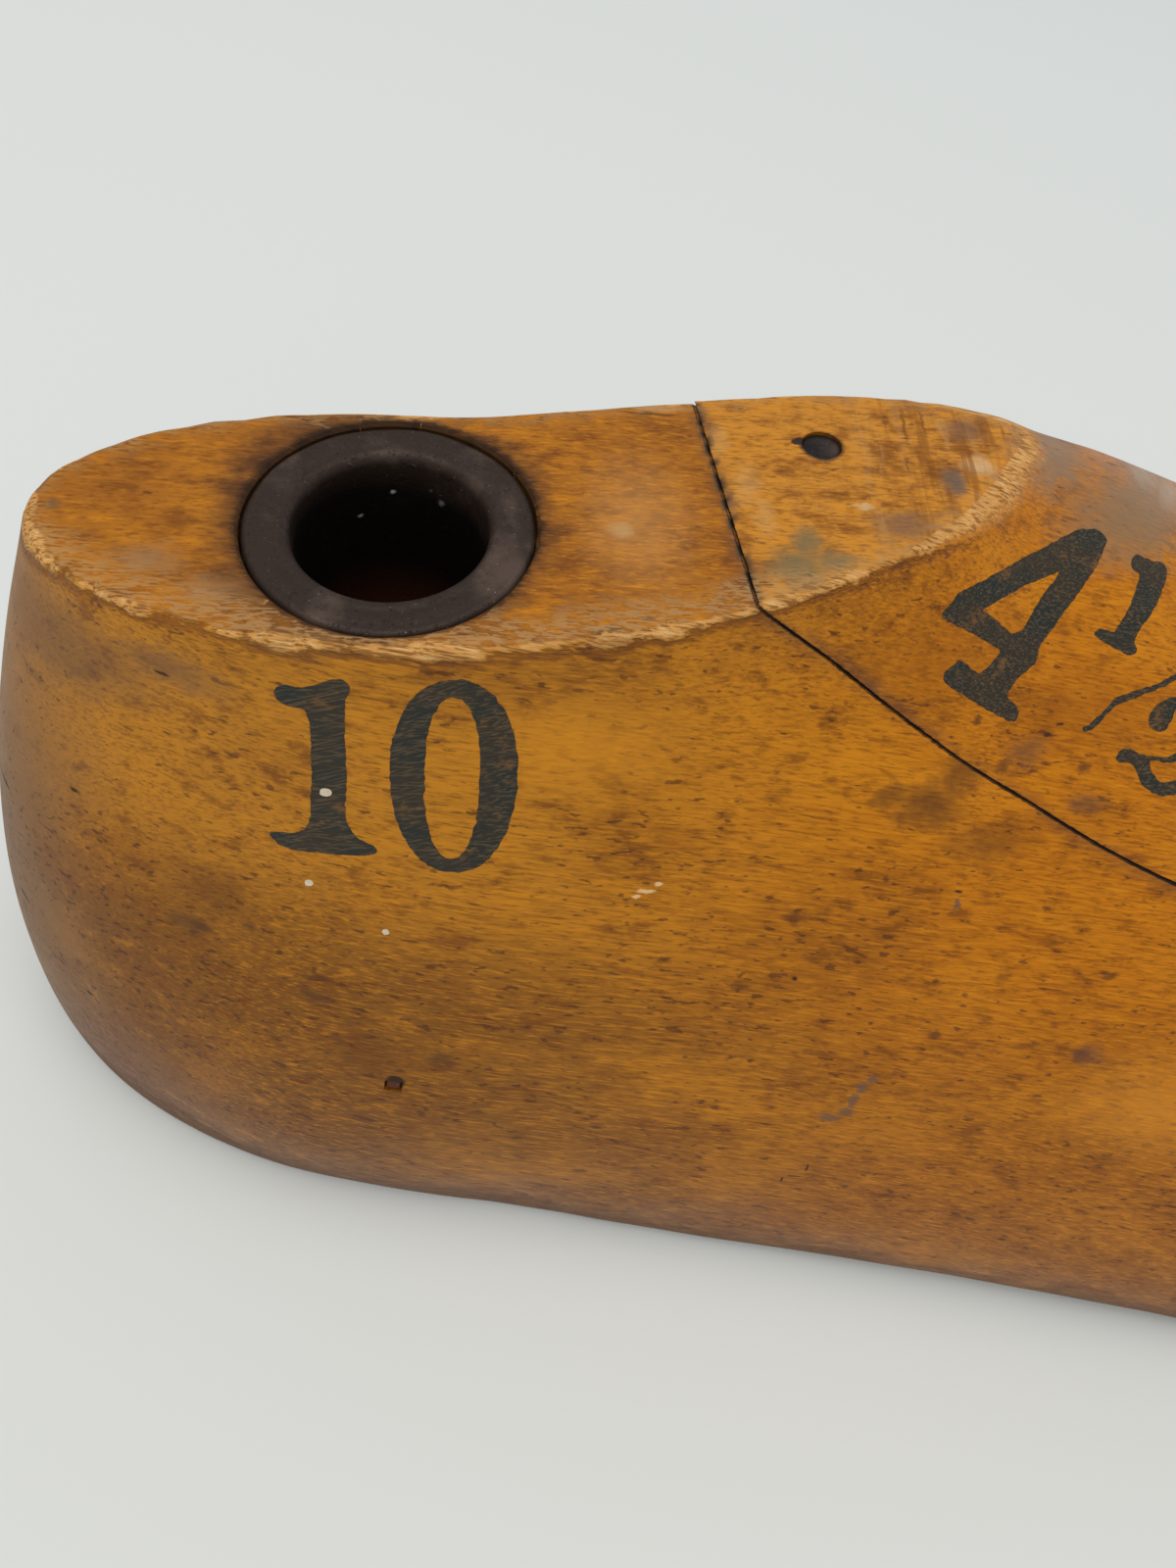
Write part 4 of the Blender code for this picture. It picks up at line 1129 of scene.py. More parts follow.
def makeSpecks():
    made = []
    for k, (station, height, wide) in enumerate(specks["places"]):
        outline = oval((0, 0), wide, wide * 0.85, 2.4, 20 * k, 24)
        where = (station, -1, height, 0.0)
        made.append(inkedShape(f"paint_speck_{k + 1}", [outline], where, specks, 50 + k))
    return made


numeralTen, numeralHalf = makeNumerals()
paintSpecks = makeSpecks()
for piece in (numeralTen, *paintSpecks):
    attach(piece, "last")
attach(numeralHalf, "block")
print("numerals", len(numeralTen.data.polygons), len(numeralHalf.data.polygons))


def linearColour(code):
    # an sRGB hex code as the linear values that a shader takes
    parts = np.array([int(code[i:i + 2], 16) / 255 for i in (1, 3, 5)])
    flat = np.where(parts <= 0.04045, parts / 12.92, ((parts + 0.055) / 1.055) ** 2.4)
    return (*flat, 1.0)


def fillInputs(tree, node, inputs):
    # a node's inputs, given as values or as other nodes' outputs
    for key, value in inputs.items():
        if isinstance(value, bpy.types.NodeSocket):
            tree.links.new(value, node.inputs[key])
        else:
            node.inputs[key].default_value = value


def addNode(tree, kind, settings=None, inputs=None):
    # one node with its settings and its inputs
    node = tree.nodes.new("ShaderNode" + kind)
    for key, value in (settings or {}).items():
        setattr(node, key, value)
    fillInputs(tree, node, inputs or {})
    return node


def newMaterial(name):
    material = bpy.data.materials.new(name)
    material.use_nodes = True
    tree = material.node_tree
    here = addNode(tree, "TexCoord").outputs["Object"]
    place = addNode(tree, "Mapping", None, {0: here, 3: (1000, 1000, 1000)}).outputs[0]   # in millimetres
    return material, tree, tree.nodes["Principled BSDF"], place


soft = {"interpolation_type": "SMOOTHSTEP"}
sums = ("MULTIPLY", "SUBTRACT", "MULTIPLY_ADD", "MAXIMUM", "LENGTH")
times, minus, timesPlus, most, distance = ({"operation": kind} for kind in sums)
inColour = {"data_type": "RGBA"}


def drawnNoise(tree, place, long, wide, detail=3.0, shift=0.0, rough=0.55, lean=0.0):
    # noise whose features are this long with the grain, along X, and this wide across it, in mm;
    # it leans down towards the toe by an angle in radians
    start = (-shift * long, -shift * 1.7 * wide, -shift * 0.6 * wide)
    drawn = addNode(tree, "Mapping", {"vector_type": "TEXTURE"},
                    {0: place, 1: start, 2: (0, lean, 0), 3: (long, wide, wide)}).outputs[0]
    look = {"Vector": drawn, "Scale": 1.0, "Detail": detail, "Roughness": rough}
    return addNode(tree, "TexNoise", None, look)


def layered(tree, colour, layers):
    # lays colours over the first: each has a share per point and a greatest strength
    colour = linearColour(colour) if isinstance(colour, str) else colour
    for share, code, strength in layers:
        thin = addNode(tree, "Math", times, {0: share, 1: strength}).outputs[0]
        colour = addNode(tree, "Mix", inColour, {0: thin, 6: colour, 7: linearColour(code)}).outputs[2]
    return colour


def summed(tree, start, terms):
    # a sum of shares, each times its own amount
    total = start
    for share, amount in terms:
        total = addNode(tree, "Math", timesPlus, {0: share, 1: amount, 2: total}).outputs[0]
    return total


def shareOf(tree, value, low, high, terms=()):
    # a share that goes smoothly from 0 to 1 as a sum goes from low to high, where low may be the larger
    total = summed(tree, value, terms)
    return addNode(tree, "MapRange", soft, {0: total, 1: low, 2: high}).outputs[0]


def finishMaterial(tree, shader, colour, rough, height, depth, more=None):
    # a material's colour, roughness and relief, the relief this many millimetres deep
    bump = addNode(tree, "Bump", None, {"Height": height, "Distance": depth * mm, "Strength": 1.0})
    looks = {"Base Color": colour, "Roughness": rough, "Normal": bump.outputs[0]}
    fillInputs(tree, shader, looks | (more or {}))


def spotShare(tree, place, warp, spots, ragged, core):
    # 1 in the middle of each spot and 0 outside it; spots are (middle, half sizes), pulled about by
    # noise so that none is a plain ellipse
    pulled = addNode(tree, "VectorMath", timesPlus, {0: warp, 1: (ragged,) * 3, 2: place}).outputs[0]
    total = 0.0
    for middle, half in spots:
        shrink = tuple(1 / h for h in half)
        back = tuple(-c / h for c, h in zip(middle, half))
        seen = addNode(tree, "VectorMath", timesPlus, {0: pulled, 1: shrink, 2: back}).outputs[0]
        away = addNode(tree, "VectorMath", distance, {0: seen}).outputs["Value"]
        one = shareOf(tree, away, 1.0, core)
        total = addNode(tree, "Math", most, {0: one, 1: total}).outputs[0]
    return total


def onWall(station, height, long, high, deep=2.5):
    # a mark on the lateral wall: its size along the last, in height and across
    place, _ = wallPlace(station, -1, height)
    return tuple(toRow(place[:3, 3]) / mm), (long / 2, deep, high / 2)


def onPlate(ahead, aside, long, wide):
    # a mark on the plate, placed from the jack hole's axis
    x = lines["holeX"] + ahead
    return tuple(toRow((x, aside, plateZ(x))) / mm), (long / 2, wide / 2, 2.5)


# The wood's colours. Every length is in millimetres.
maple = {
    "amber": "#c4801a",
    "orange": "#c27204",
    "plate": "#a86616",
    "plateFront": "#cd882c",
    "bright": "#de8e14",
    "dark": "#7c430a",
    # painted shade for the lower walls
    "low": "#70430f",
    "fibre": "#6b3808",
    "fleck": "#4a2409",
    "heel": "#84603a",
    "grimeAndShade": "#5e3e20",
    "torn": "#e2a65c",
    "tornDarkAndShade": "#7a4518",
    "thread": "#f0c68c",
    "worn": "#c0935c",
    "sawn": "#b58650",
    # painted shade in the saw cut's narrow gap
    "seam": "#1a0e07",
    "seamTint": "#5d3a2a",
    "dirt": "#42291c",
    # dark crust and painted shade in the gap round the thimble's flange
    "gap": "#20140d",
    # painted shade inside the jack hole
    "bore": "#3a2415",
    "satin": 0.36,
}
bodyMarks = [
    # colour, strength, raggedness, core, added roughness, where, its spots
    ("#e0921e", 0.5, 3.0, 0.0, 0.0, onWall, [(47.0, 54.0, 22, 13, 9)]),
    # a painted sheen, low on the lateral wall ahead of the waist
    ("#ee9c30", 0.42, 3.0, 0.0, 0.0, onWall, [(96.5, 31.0, 26, 15, 14)]),
    ("#76553a", 0.6, 3.0, 0.1, 0.05, onWall, [(11.0, 52.5, 20, 9, 12), (19.0, 54.5, 12, 5, 8)]),
    ("#663810", 0.55, 3.0, 0.0, 0.05, onWall, [
        (78.0, 47.5, 14, 5, 8), (23.5, 38.0, 9, 7, 8), (36.0, 27.0, 14, 8, 8)]),
    ("#5a3216", 0.75, 1.3, 0.1, 0.05, onWall, [
        (22.8, 34.6, 2.6, 1.2), (26.5, 36.0, 1.8, 1.0), (31.8, 33.2, 4.0, 0.9), (39.2, 43.0, 2.4, 0.5),
        (63.5, 42.2, 3.0, 0.9), (54.0, 38.6, 2.2, 0.9), (60.3, 36.9, 2.4, 1.2), (55.7, 35.2, 3.6, 0.4),
        (47.4, 32.1, 1.6, 0.8), (60.7, 30.7, 0.9, 0.8), (62.3, 30.7, 1.0, 0.7), (59.0, 26.5, 1.6, 0.7),
        (60.2, 26.0, 1.4, 0.6), (60.1, 20.1, 1.2, 0.7), (50.8, 15.5, 2.0, 1.4), (70.0, 45.5, 0.9, 0.6),
        (83.9, 43.8, 1.6, 0.8), (78.3, 37.8, 1.2, 0.7), (76.4, 34.7, 1.8, 1.0), (90.0, 40.1, 2.2, 1.0),
        (75.5, 38.8, 1.0, 0.7), (88.9, 34.4, 3.0, 1.9), (39.3, 21.6, 1.3, 1.4), (71.0, 43.3, 1.2, 0.8)]),
    ("#6b3f14", 0.72, 3.2, 0.1, 0.15, onWall, [
        (72.6, 50.0, 9.5, 5.2, 5), (69.4, 50.4, 4.6, 3.4, 4), (75.0, 51.6, 7.0, 4.4, 5)]),
    ("#5a3a1c", 0.7, 1.6, 0.0, 0.05, onWall, [
        (21.8, 34.5, 5.0, 3.0, 4), (31.6, 31.6, 5.0, 2.6, 4), (40.0, 28.0, 4.0, 2.6, 4)]),
    # painted shade in the tack's hole, fading out round it
    ("#20140e", 0.9, 0.5, 0.6, 0.1, onWall, [(37.4, 24.75, 1.9, 1.7, 3)]),
    ("#6b4636", 0.6, 1.8, 0.1, 0.1, onWall, [(89.7, 34.5, 4.2, 2.6, 4)]),
    ("#2a1a10", 0.9, 0.6, 0.35, 0.1, onWall, [
        (13.9, 21.1, 1.2, 0.55), (8.0, 25.4, 1.6, 0.5), (6.3, 35.7, 1.8, 0.6), (12.2, 41.6, 1.0, 0.5),
        (18.7, 53.9, 1.5, 0.35), (64.4, 37.9, 0.7, 0.4), (76.1, 44.8, 1.1, 0.3), (67.6, 18.6, 0.3, 0.8),
        (68.5, 19.2, 1.7, 0.22), (69.3, 20.5, 0.3, 1.5), (70.2, 22.0, 1.9, 0.2)]),
    ("#6b5244", 0.75, 1.0, 0.3, 0.1, onWall, [
        (76.1, 43.9, 0.7, 1.2), (69.6, 26.4, 2.6, 1.2), (71.0, 27.2, 2.0, 1.2), (71.2, 28.4, 1.2, 2.4),
        (71.6, 29.6, 1.4, 1.4), (72.3, 30.4, 1.4, 1.0)]),
    ("#eec48a", 0.9, 0.8, 0.35, 0.3, onWall, [
        (52.0, 43.8, 1.7, 0.5), (51.4, 43.3, 1.0, 0.45), (52.8, 44.3, 0.9, 0.4)]),
    # on the plate
    ("#d2985a", 0.38, 3.0, 0.0, 0.05, onPlate, [(16.0, 2.0, 13, 20)]),
    ("#9c7650", 0.7, 3.0, 0.0, 0.25, onPlate, [
        (-14.5, -3.6, 7.0, 4.4), (-9.5, -6.0, 8.0, 4.4), (-4.0, -9.4, 9.0, 2.2)]),
    ("#5f4a33", 0.7, 1.6, 0.1, 0.1, onPlate, [
        (14.0, -7.6, 3.6, 1.2), (16.5, -6.6, 1.4, 0.8), (-21.2, 0.6, 1.6, 2.2)]),
    ("#caa06a", 0.6, 1.2, 0.2, 0.2, onPlate, [(15.0, 1.1, 2.8, 2.4)]),
    ("#c79a66", 0.6, 1.2, 0.2, 0.2, onPlate, [(17.6, 13.6, 7.5, 1.3)]),
    ("#3a2313", 0.8, 0.7, 0.2, 0.1, onPlate, [(17.0, 12.9, 7.0, 0.4), (13.6, 13.6, 3.0, 0.35)]),
]
blockMarks = [
    ("#8a7054", 0.85, 3.0, 0.1, 0.0, onWall, [(91.5, 62.0, 28, 6, 16), (84.0, 64.0, 12, 3, 8)]),
    # painted sheen along the instep ridge
    ("#c9beb2", 0.34, 1.0, 0.0, 0.1, onWall, [(93.0, 62.6, 18, 1.3, 3), (95.5, 61.6, 9, 1.8, 3)]),
    ("#9a5606", 0.4, 3.0, 0.0, 0.0, onWall, [(72.0, 58.0, 30, 8, 9), (86.0, 54.0, 20, 7, 9)]),
    ("#5a3216", 0.75, 1.3, 0.1, 0.05, onWall, [
        (75.9, 54.4, 1.4, 0.8), (85.6, 51.6, 2.0, 1.2), (81.2, 51.2, 1.4, 0.6), (82.4, 51.6, 1.4, 0.6),
        (78.6, 51.6, 2.2, 0.7)]),
    ("#2a1a10", 0.85, 0.6, 0.3, 0.1, onWall, [
        (82.3, 53.1, 1.2, 0.35), (83.3, 53.6, 1.0, 0.35), (77.5, 55.2, 0.9, 0.3)]),
    ("#5c4030", 0.62, 2.4, 0.0, 0.1, onWall, [
        (66.4, 56.6, 3.6, 2.0), (80.6, 52.2, 6.0, 3.4, 4), (86.0, 49.8, 5.0, 2.2, 3)]),
    # on the plate
    ("#6f6649", 0.8, 1.8, 0.15, 0.1, onPlate, [
        (26.4, -1.5, 6.4, 5.4), (27.2, 0.8, 3.4, 4.4), (28.9, -0.8, 4.6, 3.2)]),
    ("#7a5842", 0.75, 2.2, 0.1, 0.1, onPlate, [
        (34.0, 3.0, 8.0, 4.6), (40.0, 13.2, 5.0, 4.4), (22.3, 4.4, 1.8, 4.0)]),
    ("#5f554e", 0.85, 1.2, 0.15, 0.1, onPlate, [(38.3, 7.6, 3.2, 4.4)]),
    ("#d8b486", 0.7, 1.4, 0.1, 0.25, onPlate, [(40.4, 9.4, 3.8, 3.0), (31.5, 4.6, 2.4, 0.7)]),
    ("#d0a468", 0.35, 2.4, 0.0, 0.2, onPlate, [
        (21.8, 10.5, 3.0, 6.0), (23.6, 6.0, 3.0, 7.0), (24.6, 3.0, 2.2, 6.0)]),
    ("#6a3f1c", 0.7, 0.8, 0.1, 0.05, onPlate, [
        (35.6, 13.2, 0.5, 6.0), (37.0, 13.6, 0.45, 4.6), (35.2, 9.2, 0.35, 3.0)]),
    ("#261c1f", 0.95, 0.7, 0.7, 0.1, onPlate, [(29.3, 10.5, 3.8, 3.5), (27.9, 10.9, 1.8, 1.0)]),
]


def shellackedMaple(name, marks, shift, front):
    # Hard maple under old shellac, carved, sanded and handled: an amber satin skin over fine pale and
    # dark fibres along the last, short dark flecks where dirt sits in the pores, cloudy darker patches,
    # torn pale fibres along the worn rims and grime in the seam and at the heel; painted shade low on
    # the walls, along the feather edge, in the saw cut, under the torn rims and round and in the
    # thimble's hole; and the marks, some of which are painted sheens.
    material, tree, shader, place = newMaterial(name)
    m = maple
    cloud = drawnNoise(tree, place, 16, 9, 4, shift + 3).outputs[0]
    mottle = drawnNoise(tree, place, 3.0, 1.5, 4, shift + 9, 0.62).outputs[0]
    fibre = drawnNoise(tree, place, 5.0, 0.26, 3, shift + 1, 0.6, 0.03).outputs[0]
    fine = drawnNoise(tree, place, 1.1, 0.2, 2, shift + 5, 0.5, 0.03).outputs[0]
    thread = drawnNoise(tree, place, 2.3, 0.18, 2, shift + 15, 0.5, 0.06).outputs[0]
    fleck = drawnNoise(tree, place, 1.3, 0.42, 2, shift + 13, 0.5, 0.04).outputs[0]
    warpColour = drawnNoise(tree, place, 1.6, 1.2, 4, shift + 31, 0.65).outputs["Color"]
    warp = addNode(tree, "VectorMath", minus, {0: warpColour, 1: (0.5, 0.5, 0.5)}).outputs[0]
    axes = addNode(tree, "SeparateXYZ", None, {0: place}).outputs
    facing = addNode(tree, "SeparateXYZ", None, {0: addNode(tree, "TexCoord").outputs["Normal"]}).outputs

    def between(value, low, high, terms=()):
        return shareOf(tree, value, low, high, terms)

    def product(*shares):
        total = shares[0]
        for share in shares[1:]:
            total = addNode(tree, "Math", times, {0: total, 1: share}).outputs[0]
        return total

    def over(under, share, code, strength=1.0):
        # a colour laid over another, at most this strong
        return layered(tree, under, [(share, code, strength)])

    # The plate is told from the walls by its plane and its normal; the walls get painted shade
    # towards the sole, more of it towards the heel.
    offPlate = summed(tree, axes[2], [(axes[0], -math.tan(lines["plateTilt"]))])
    plane = plateZ(lines["origin"][0])
    nearPlane = between(offPlate, plane - 1.3, plane - 0.3)
    level = product(between(facing[2], 0.80, 0.97), nearPlane)
    steep = addNode(tree, "Math", minus, {0: 1.0, 1: level}).outputs[0]
    toward = between(axes[0], -85, -35)                         # from heel to instep
    colour = over(m["amber"], toward, m["orange"])
    colour = over(colour, level, m["plateFront" if front else "plate"])
    # painted shade: the walls darker low down, in two steps towards the sole
    shadeHeight = summed(tree, axes[2], [(cloud, 14.0), (mottle, 7.0), (toward, 5.0)])
    low = product(between(shadeHeight, 56, 42), summed(tree, 0.82, [(toward, -0.45)]))
    colour = over(colour, low, m["low"])
    colour = over(colour, between(shadeHeight, 37, 22), m["low"], 0.45)
    colour = over(colour, product(between(cloud, 0.45, 0.72), steep), m["dark"], 0.45)
    colour = over(colour, between(cloud, 0.50, 0.25), m["bright"], 0.4)
    smudged = summed(tree, mottle, [(level, 0.04), (cloud, 0.12)])
    colour = over(colour, between(smudged, 0.56, 0.76), m["dark"], 0.75)
    colour = over(colour, between(mottle, 0.45, 0.25), m["bright"], 0.4)
    colour = over(colour, between(fibre, 0.50, 0.72), m["fibre"], 0.42)
    colour = over(colour, between(fibre, 0.44, 0.28), m["bright"], 0.35)
    colour = over(colour, between(fine, 0.52, 0.72), m["fibre"], 0.5)
    colour = over(colour, between(thread, 0.53, 0.7), m["fibre"], 0.34)
    pale = product(between(thread, 0.47, 0.32), between(axes[0], -104, -90))
    colour = over(colour, pale, m["bright"], 0.4)
    rough = summed(tree, m["satin"], [(mottle, 0.12)])
    backing = product(between(axes[0], -97, -108, [(cloud, 10.0)]), steep)
    colour = over(colour, backing, m["heel"], 0.75)
    foot = addNode(tree, "Attribute", {"attribute_name": "foot"}).outputs["Fac"]
    # grime and painted shade along the feather edge, where the last meets the floor
    footGrimeAndShade = between(foot, 0.5, 1.2, [(mottle, 0.5), (cloud, 0.5), (toward, -0.2)])
    colour = over(colour, footGrimeAndShade, m["grimeAndShade"], 0.7)
    rough = summed(tree, rough, [(footGrimeAndShade, 0.12), (backing, 0.05)])
    flecked = summed(tree, fleck, [(cloud, 0.25), (mottle, 0.12), (level, -0.05), (low, 0.045)])
    fleckShare = between(flecked, 0.82, 0.90)
    colour = over(colour, fleckShare, m["fleck"], 0.65)
    for code, strength, ragged, core, dull, where, spots in marks:
        share = spotShare(tree, place, warp, [where(*spot) for spot in spots], ragged, core)
        grainy = product(share, between(share, 0.55, 1.15, [(fine, 0.9), (mottle, 0.5)]))
        colour = over(colour, grainy, code, strength)
        rough = summed(tree, rough, [(share, dull)])
    if front is None:
        # dirt and a rubbed finish round the thimble, on the plate only, and painted shade on the inside
        # of its hole
        hole = tuple(toRow(plateFrame(*fittings["thimbleAt"])[:3, 3]) / mm)
        offAxis = addNode(tree, "VectorMath", minus, {0: place, 1: hole}).outputs[0]
        flat = addNode(tree, "VectorMath", times, {0: offAxis, 1: (1, 1, 0)}).outputs[0]
        radius = addNode(tree, "VectorMath", distance, {0: flat}).outputs["Value"]
        apart = addNode(tree, "SeparateXYZ", None, {0: offAxis}).outputs
        dirty = summed(tree, radius, [(mottle, -4.0), (cloud, -3.0), (between(apart[0], 3, -7), -0.9),
                                      (between(apart[1], -5, 6), -0.6)])
        halo = product(between(dirty, 8.6, 5.4), nearPlane)
        colour = over(colour, halo, m["dirt"], 0.7)
        # a dark ring round the flange: partly crust, partly painted shade in the gap at its edge
        crustAndShade = summed(tree, radius, [(thread, -0.8), (mottle, -1.0), (between(apart[1], -2, 8), -0.35)])
        colour = over(colour, product(between(crustAndShade, 9.3, 8.5), nearPlane), m["gap"], 0.8)
        rough = summed(tree, rough, [(halo, 0.25)])
        # painted shade on the jack hole's wall below the plate
        inside = product(between(radius, 9.9, 9.7), between(axes[2], 58.5, 57.5))
        colour = over(colour, inside, m["bore"], 0.85)

    # Saw cut and rims. The torn band's width changes along the rim, and its edge follows the threads.
    seam = addNode(tree, "Attribute", {"attribute_name": "seam"}).outputs["Fac"]
    sawn = addNode(tree, "Attribute", {"attribute_name": "sawn"}).outputs["Fac"]
    rim = addNode(tree, "Attribute", {"attribute_name": "rim"}).outputs["Fac"]
    seamTint = between(seam, 0.8, 1.25, [(mottle, 0.5)])
    seamTint = product(seamTint, between(cloud, 0.35, 0.6))
    colour = over(colour, seamTint, m["seamTint"], 0.5)
    if front:
        # pale and dark streaks across the block's plate, worn towards its front
        across = drawnNoise(tree, place, 0.9, 10, 3, 77, 0.6).outputs[0]
        streaked = product(level, between(axes[0], -62, -48))
        colour = over(colour, product(streaked, between(across, 0.5, 0.68)), m["dark"], 0.6)
        colour = over(colour, product(streaked, between(across, 0.47, 0.3)), m["worn"], 0.45)
    colour = over(colour, sawn, m["sawn"], 0.6)
    # painted shade: the saw cut's faces near black towards their lips, where the narrow gap lies in shade
    colour = over(colour, product(sawn, between(seam, 0.2, 0.75)), m["seam"], 0.95)
    lateral = between(axes[1], 3.0, -3.0)
    frayed = between(rim, 1.15, 1.6, [(mottle, 1.0), (lateral, 0.3)])
    colour = over(colour, product(frayed, level, between(thread, 0.42, 0.56)), m["worn"], 0.62)
    along = drawnNoise(tree, place, 4.5, 2.5, 3, shift + 41, 0.6).outputs[0]
    away = summed(tree, 6.0, [(rim, -6.0), (fine, -0.5), (thread, -0.8), (level, 0.2)])
    wide = summed(tree, -0.5, [(between(along, 0.36, 0.68), 0.6), (lateral, 0.16)])
    outer = -0.2
    if front:
        # ahead it is a wide soft bevel, with a crisp edge to the plate
        ahead = between(axes[0], *front)
        wide = summed(tree, wide, [(ahead, 2.3)])
        away = summed(tree, away, [(product(ahead, between(facing[2], 0.970, 0.984)), 3.0)])
        outer = summed(tree, -0.2, [(ahead, -2.0)])
    else:
        facet = product(between(axes[0], -105.6, -107.2), between(axes[1], 3.5, 1.0))
        wide = summed(tree, wide, [(facet, 0.6), (between(axes[0], -88, -100), -0.22)])
    short = addNode(tree, "Math", minus, {0: away, 1: wide}).outputs[0]
    torn = between(short, 0.15, outer)
    # painted shade: a dark line on the wall just under the torn band, in its undercut; the same dark
    # colour also marks dark torn fibres
    under = product(between(short, 0.9, 0.3), steep, between(short, 0.0, 0.3), between(rim, 0.6, 0.8))
    colour = over(colour, under, m["tornDarkAndShade"], 0.7)
    colour = over(colour, torn, m["torn"], 0.85)
    colour = over(colour, product(torn, between(thread, 0.47, 0.36)), m["thread"], 0.6)
    colour = over(colour, product(torn, between(thread, 0.52, 0.62)), m["tornDarkAndShade"], 0.7)
    colour = over(colour, product(torn, between(mottle, 0.52, 0.75)), m["tornDarkAndShade"], 0.4)
    # painted shade: a thin dark line along both lips of the saw cut
    seamGapShade = between(seam, 0.985, 1.02, [(fine, 0.06)])
    colour = over(colour, seamGapShade, m["seam"], 0.92)
    rough = summed(tree, rough, [(torn, 0.35)])
    height = summed(tree, 0.0, [(fibre, 0.025), (fine, 0.02), (mottle, 0.03), (fleckShare, -0.03)])
    tears = [(product(torn, thread), 0.3), (torn, -0.12), (under, -0.1), (seamGapShade, -0.05)]
    shine = {"IOR": 1.5, "Specular IOR Level": 0.2}
    finishMaterial(tree, shader, colour, rough, summed(tree, height, tears), 1.0, shine)
    return material


def onBore(turn, deep, wide):
    # a speck on the thimble's bore, at this angle from ahead and this far below the plate
    x, y = fittings["thimbleAt"]
    x += fittings["thimbleBore"] * math.cos(math.radians(turn))
    y += fittings["thimbleBore"] * math.sin(math.radians(turn))
    return tuple(toRow((x, y, plateZ(x) - deep)) / mm), (wide / 2,) * 3


# Lint in the bore: the angle from ahead in degrees, the depth and the width.
boreSpecks = [(60, 3.4, 1.1), (68, 2.6, 0.7), (50, 3.9, 0.8), (90, 3.2, 0.6), (150, 4.4, 0.6),
              (110, 5.0, 0.6), (36, 4.2, 0.6)]


def brownedSteel(name, darker, paler, linted):
    # Mild steel, turned and browned by rust and wax: nearly black brown, dull, with paler rubbed
    # places, pits, dust and a few scratches; just under the plate's level it turns near black, painted
    # shade in the bore; deeper in the bore the rust is redder and lint hangs.
    material, tree, shader, place = newMaterial(name)
    cloud = drawnNoise(tree, place, 4.0, 4.0, 3, 2).outputs[0]
    grit = drawnNoise(tree, place, 0.35, 0.35, 3, 7, 0.7).outputs[0]
    scratch = drawnNoise(tree, place, 2.4, 0.12, 1, 11, 0.5, 0.5).outputs[0]
    pale = shareOf(tree, cloud, 0.48, 0.72)
    pits = shareOf(tree, grit, 0.52, 0.75)
    scratched = shareOf(tree, scratch, 0.70, 0.80)
    dust = shareOf(tree, grit, 0.34, 0.24)
    depth = addNode(tree, "SeparateXYZ", None, {0: place}).outputs[2]
    # painted shade: near black from just under the plate's level, inside the bore
    deep = shareOf(tree, depth, 59.0, 56.5)
    deeper = shareOf(tree, depth, 51.0, 43.0)
    lint = shareOf(tree, grit, 0.86, 0.92, [(cloud, 0.3)])
    layers = [(cloud, paler, 1.0), (pale, "#66544a", 0.6), (pits, "#1d1410", 0.6),
              (scratched, "#8c7c72", 0.55), (dust, "#95857a", 0.6), (deep, "#0a0807", 0.88),
              (deeper, "#6b3a1e", 0.8), (lint, "#a8a29a", 0.6)]
    if linted:
        warp = drawnNoise(tree, place, 0.5, 0.5, 2, 21).outputs["Color"]
        layers.append((spotShare(tree, place, warp, linted, 0.3, 0.2), "#f0eee8", 1.0))
    rough = summed(tree, 0.52, [(pits, 0.25), (scratched, -0.1)])
    height = summed(tree, 0.0, [(pits, -0.03), (cloud, 0.1), (scratched, -0.02), (dust, 0.03)])
    shine = {"Metallic": 0.3, "Specular IOR Level": 0.3}
    finishMaterial(tree, shader, layered(tree, darker, layers), rough, height, 1.0, shine)
    return material


def steelWire(name):
    # Drawn steel, dulled by age: grey brown, brushed along its length, with rust spots.
    material, tree, shader, place = newMaterial(name)
    rust = drawnNoise(tree, place, 1.2, 1.2, 4, 5, 0.65).outputs[0]
    brushed = drawnNoise(tree, place, 3.0, 0.15, 2, 8).outputs[0]
    spots = shareOf(tree, rust, 0.48, 0.68)
    streaks = shareOf(tree, brushed, 0.45, 0.7)
    colour = layered(tree, "#75706a", [(streaks, "#5c564f", 1.0), (spots, "#3d2a1e", 0.85)])
    rough = summed(tree, 0.38, [(spots, 0.3), (streaks, 0.08)])
    height = summed(tree, 0.0, [(streaks, 0.01), (spots, 0.03)])
    finishMaterial(tree, shader, colour, rough, height, 1.0, {"Metallic": 0.8})
    return material


def birchDowel(name):
    # Birch rod, planed and left raw: pale straw with fine straight fibres and a dull surface.
    material, tree, shader, place = newMaterial(name)
    upright = addNode(tree, "Mapping", None, {0: place, 2: (0, math.radians(90), 0)}).outputs[0]
    fibre = drawnNoise(tree, upright, 6.0, 0.25, 3, 3).outputs[0]
    dirt = drawnNoise(tree, place, 2.5, 2.5, 4, 9).outputs[0]
    streaks = shareOf(tree, fibre, 0.42, 0.68)
    worn = shareOf(tree, dirt, 0.5, 0.75)
    colour = layered(tree, "#d2ad78", [(streaks, "#b38a52", 1.0), (worn, "#8a6338", 0.6)])
    finishMaterial(tree, shader, colour, summed(tree, 0.6, [(streaks, 0.1)]), streaks, 0.02)
    return material


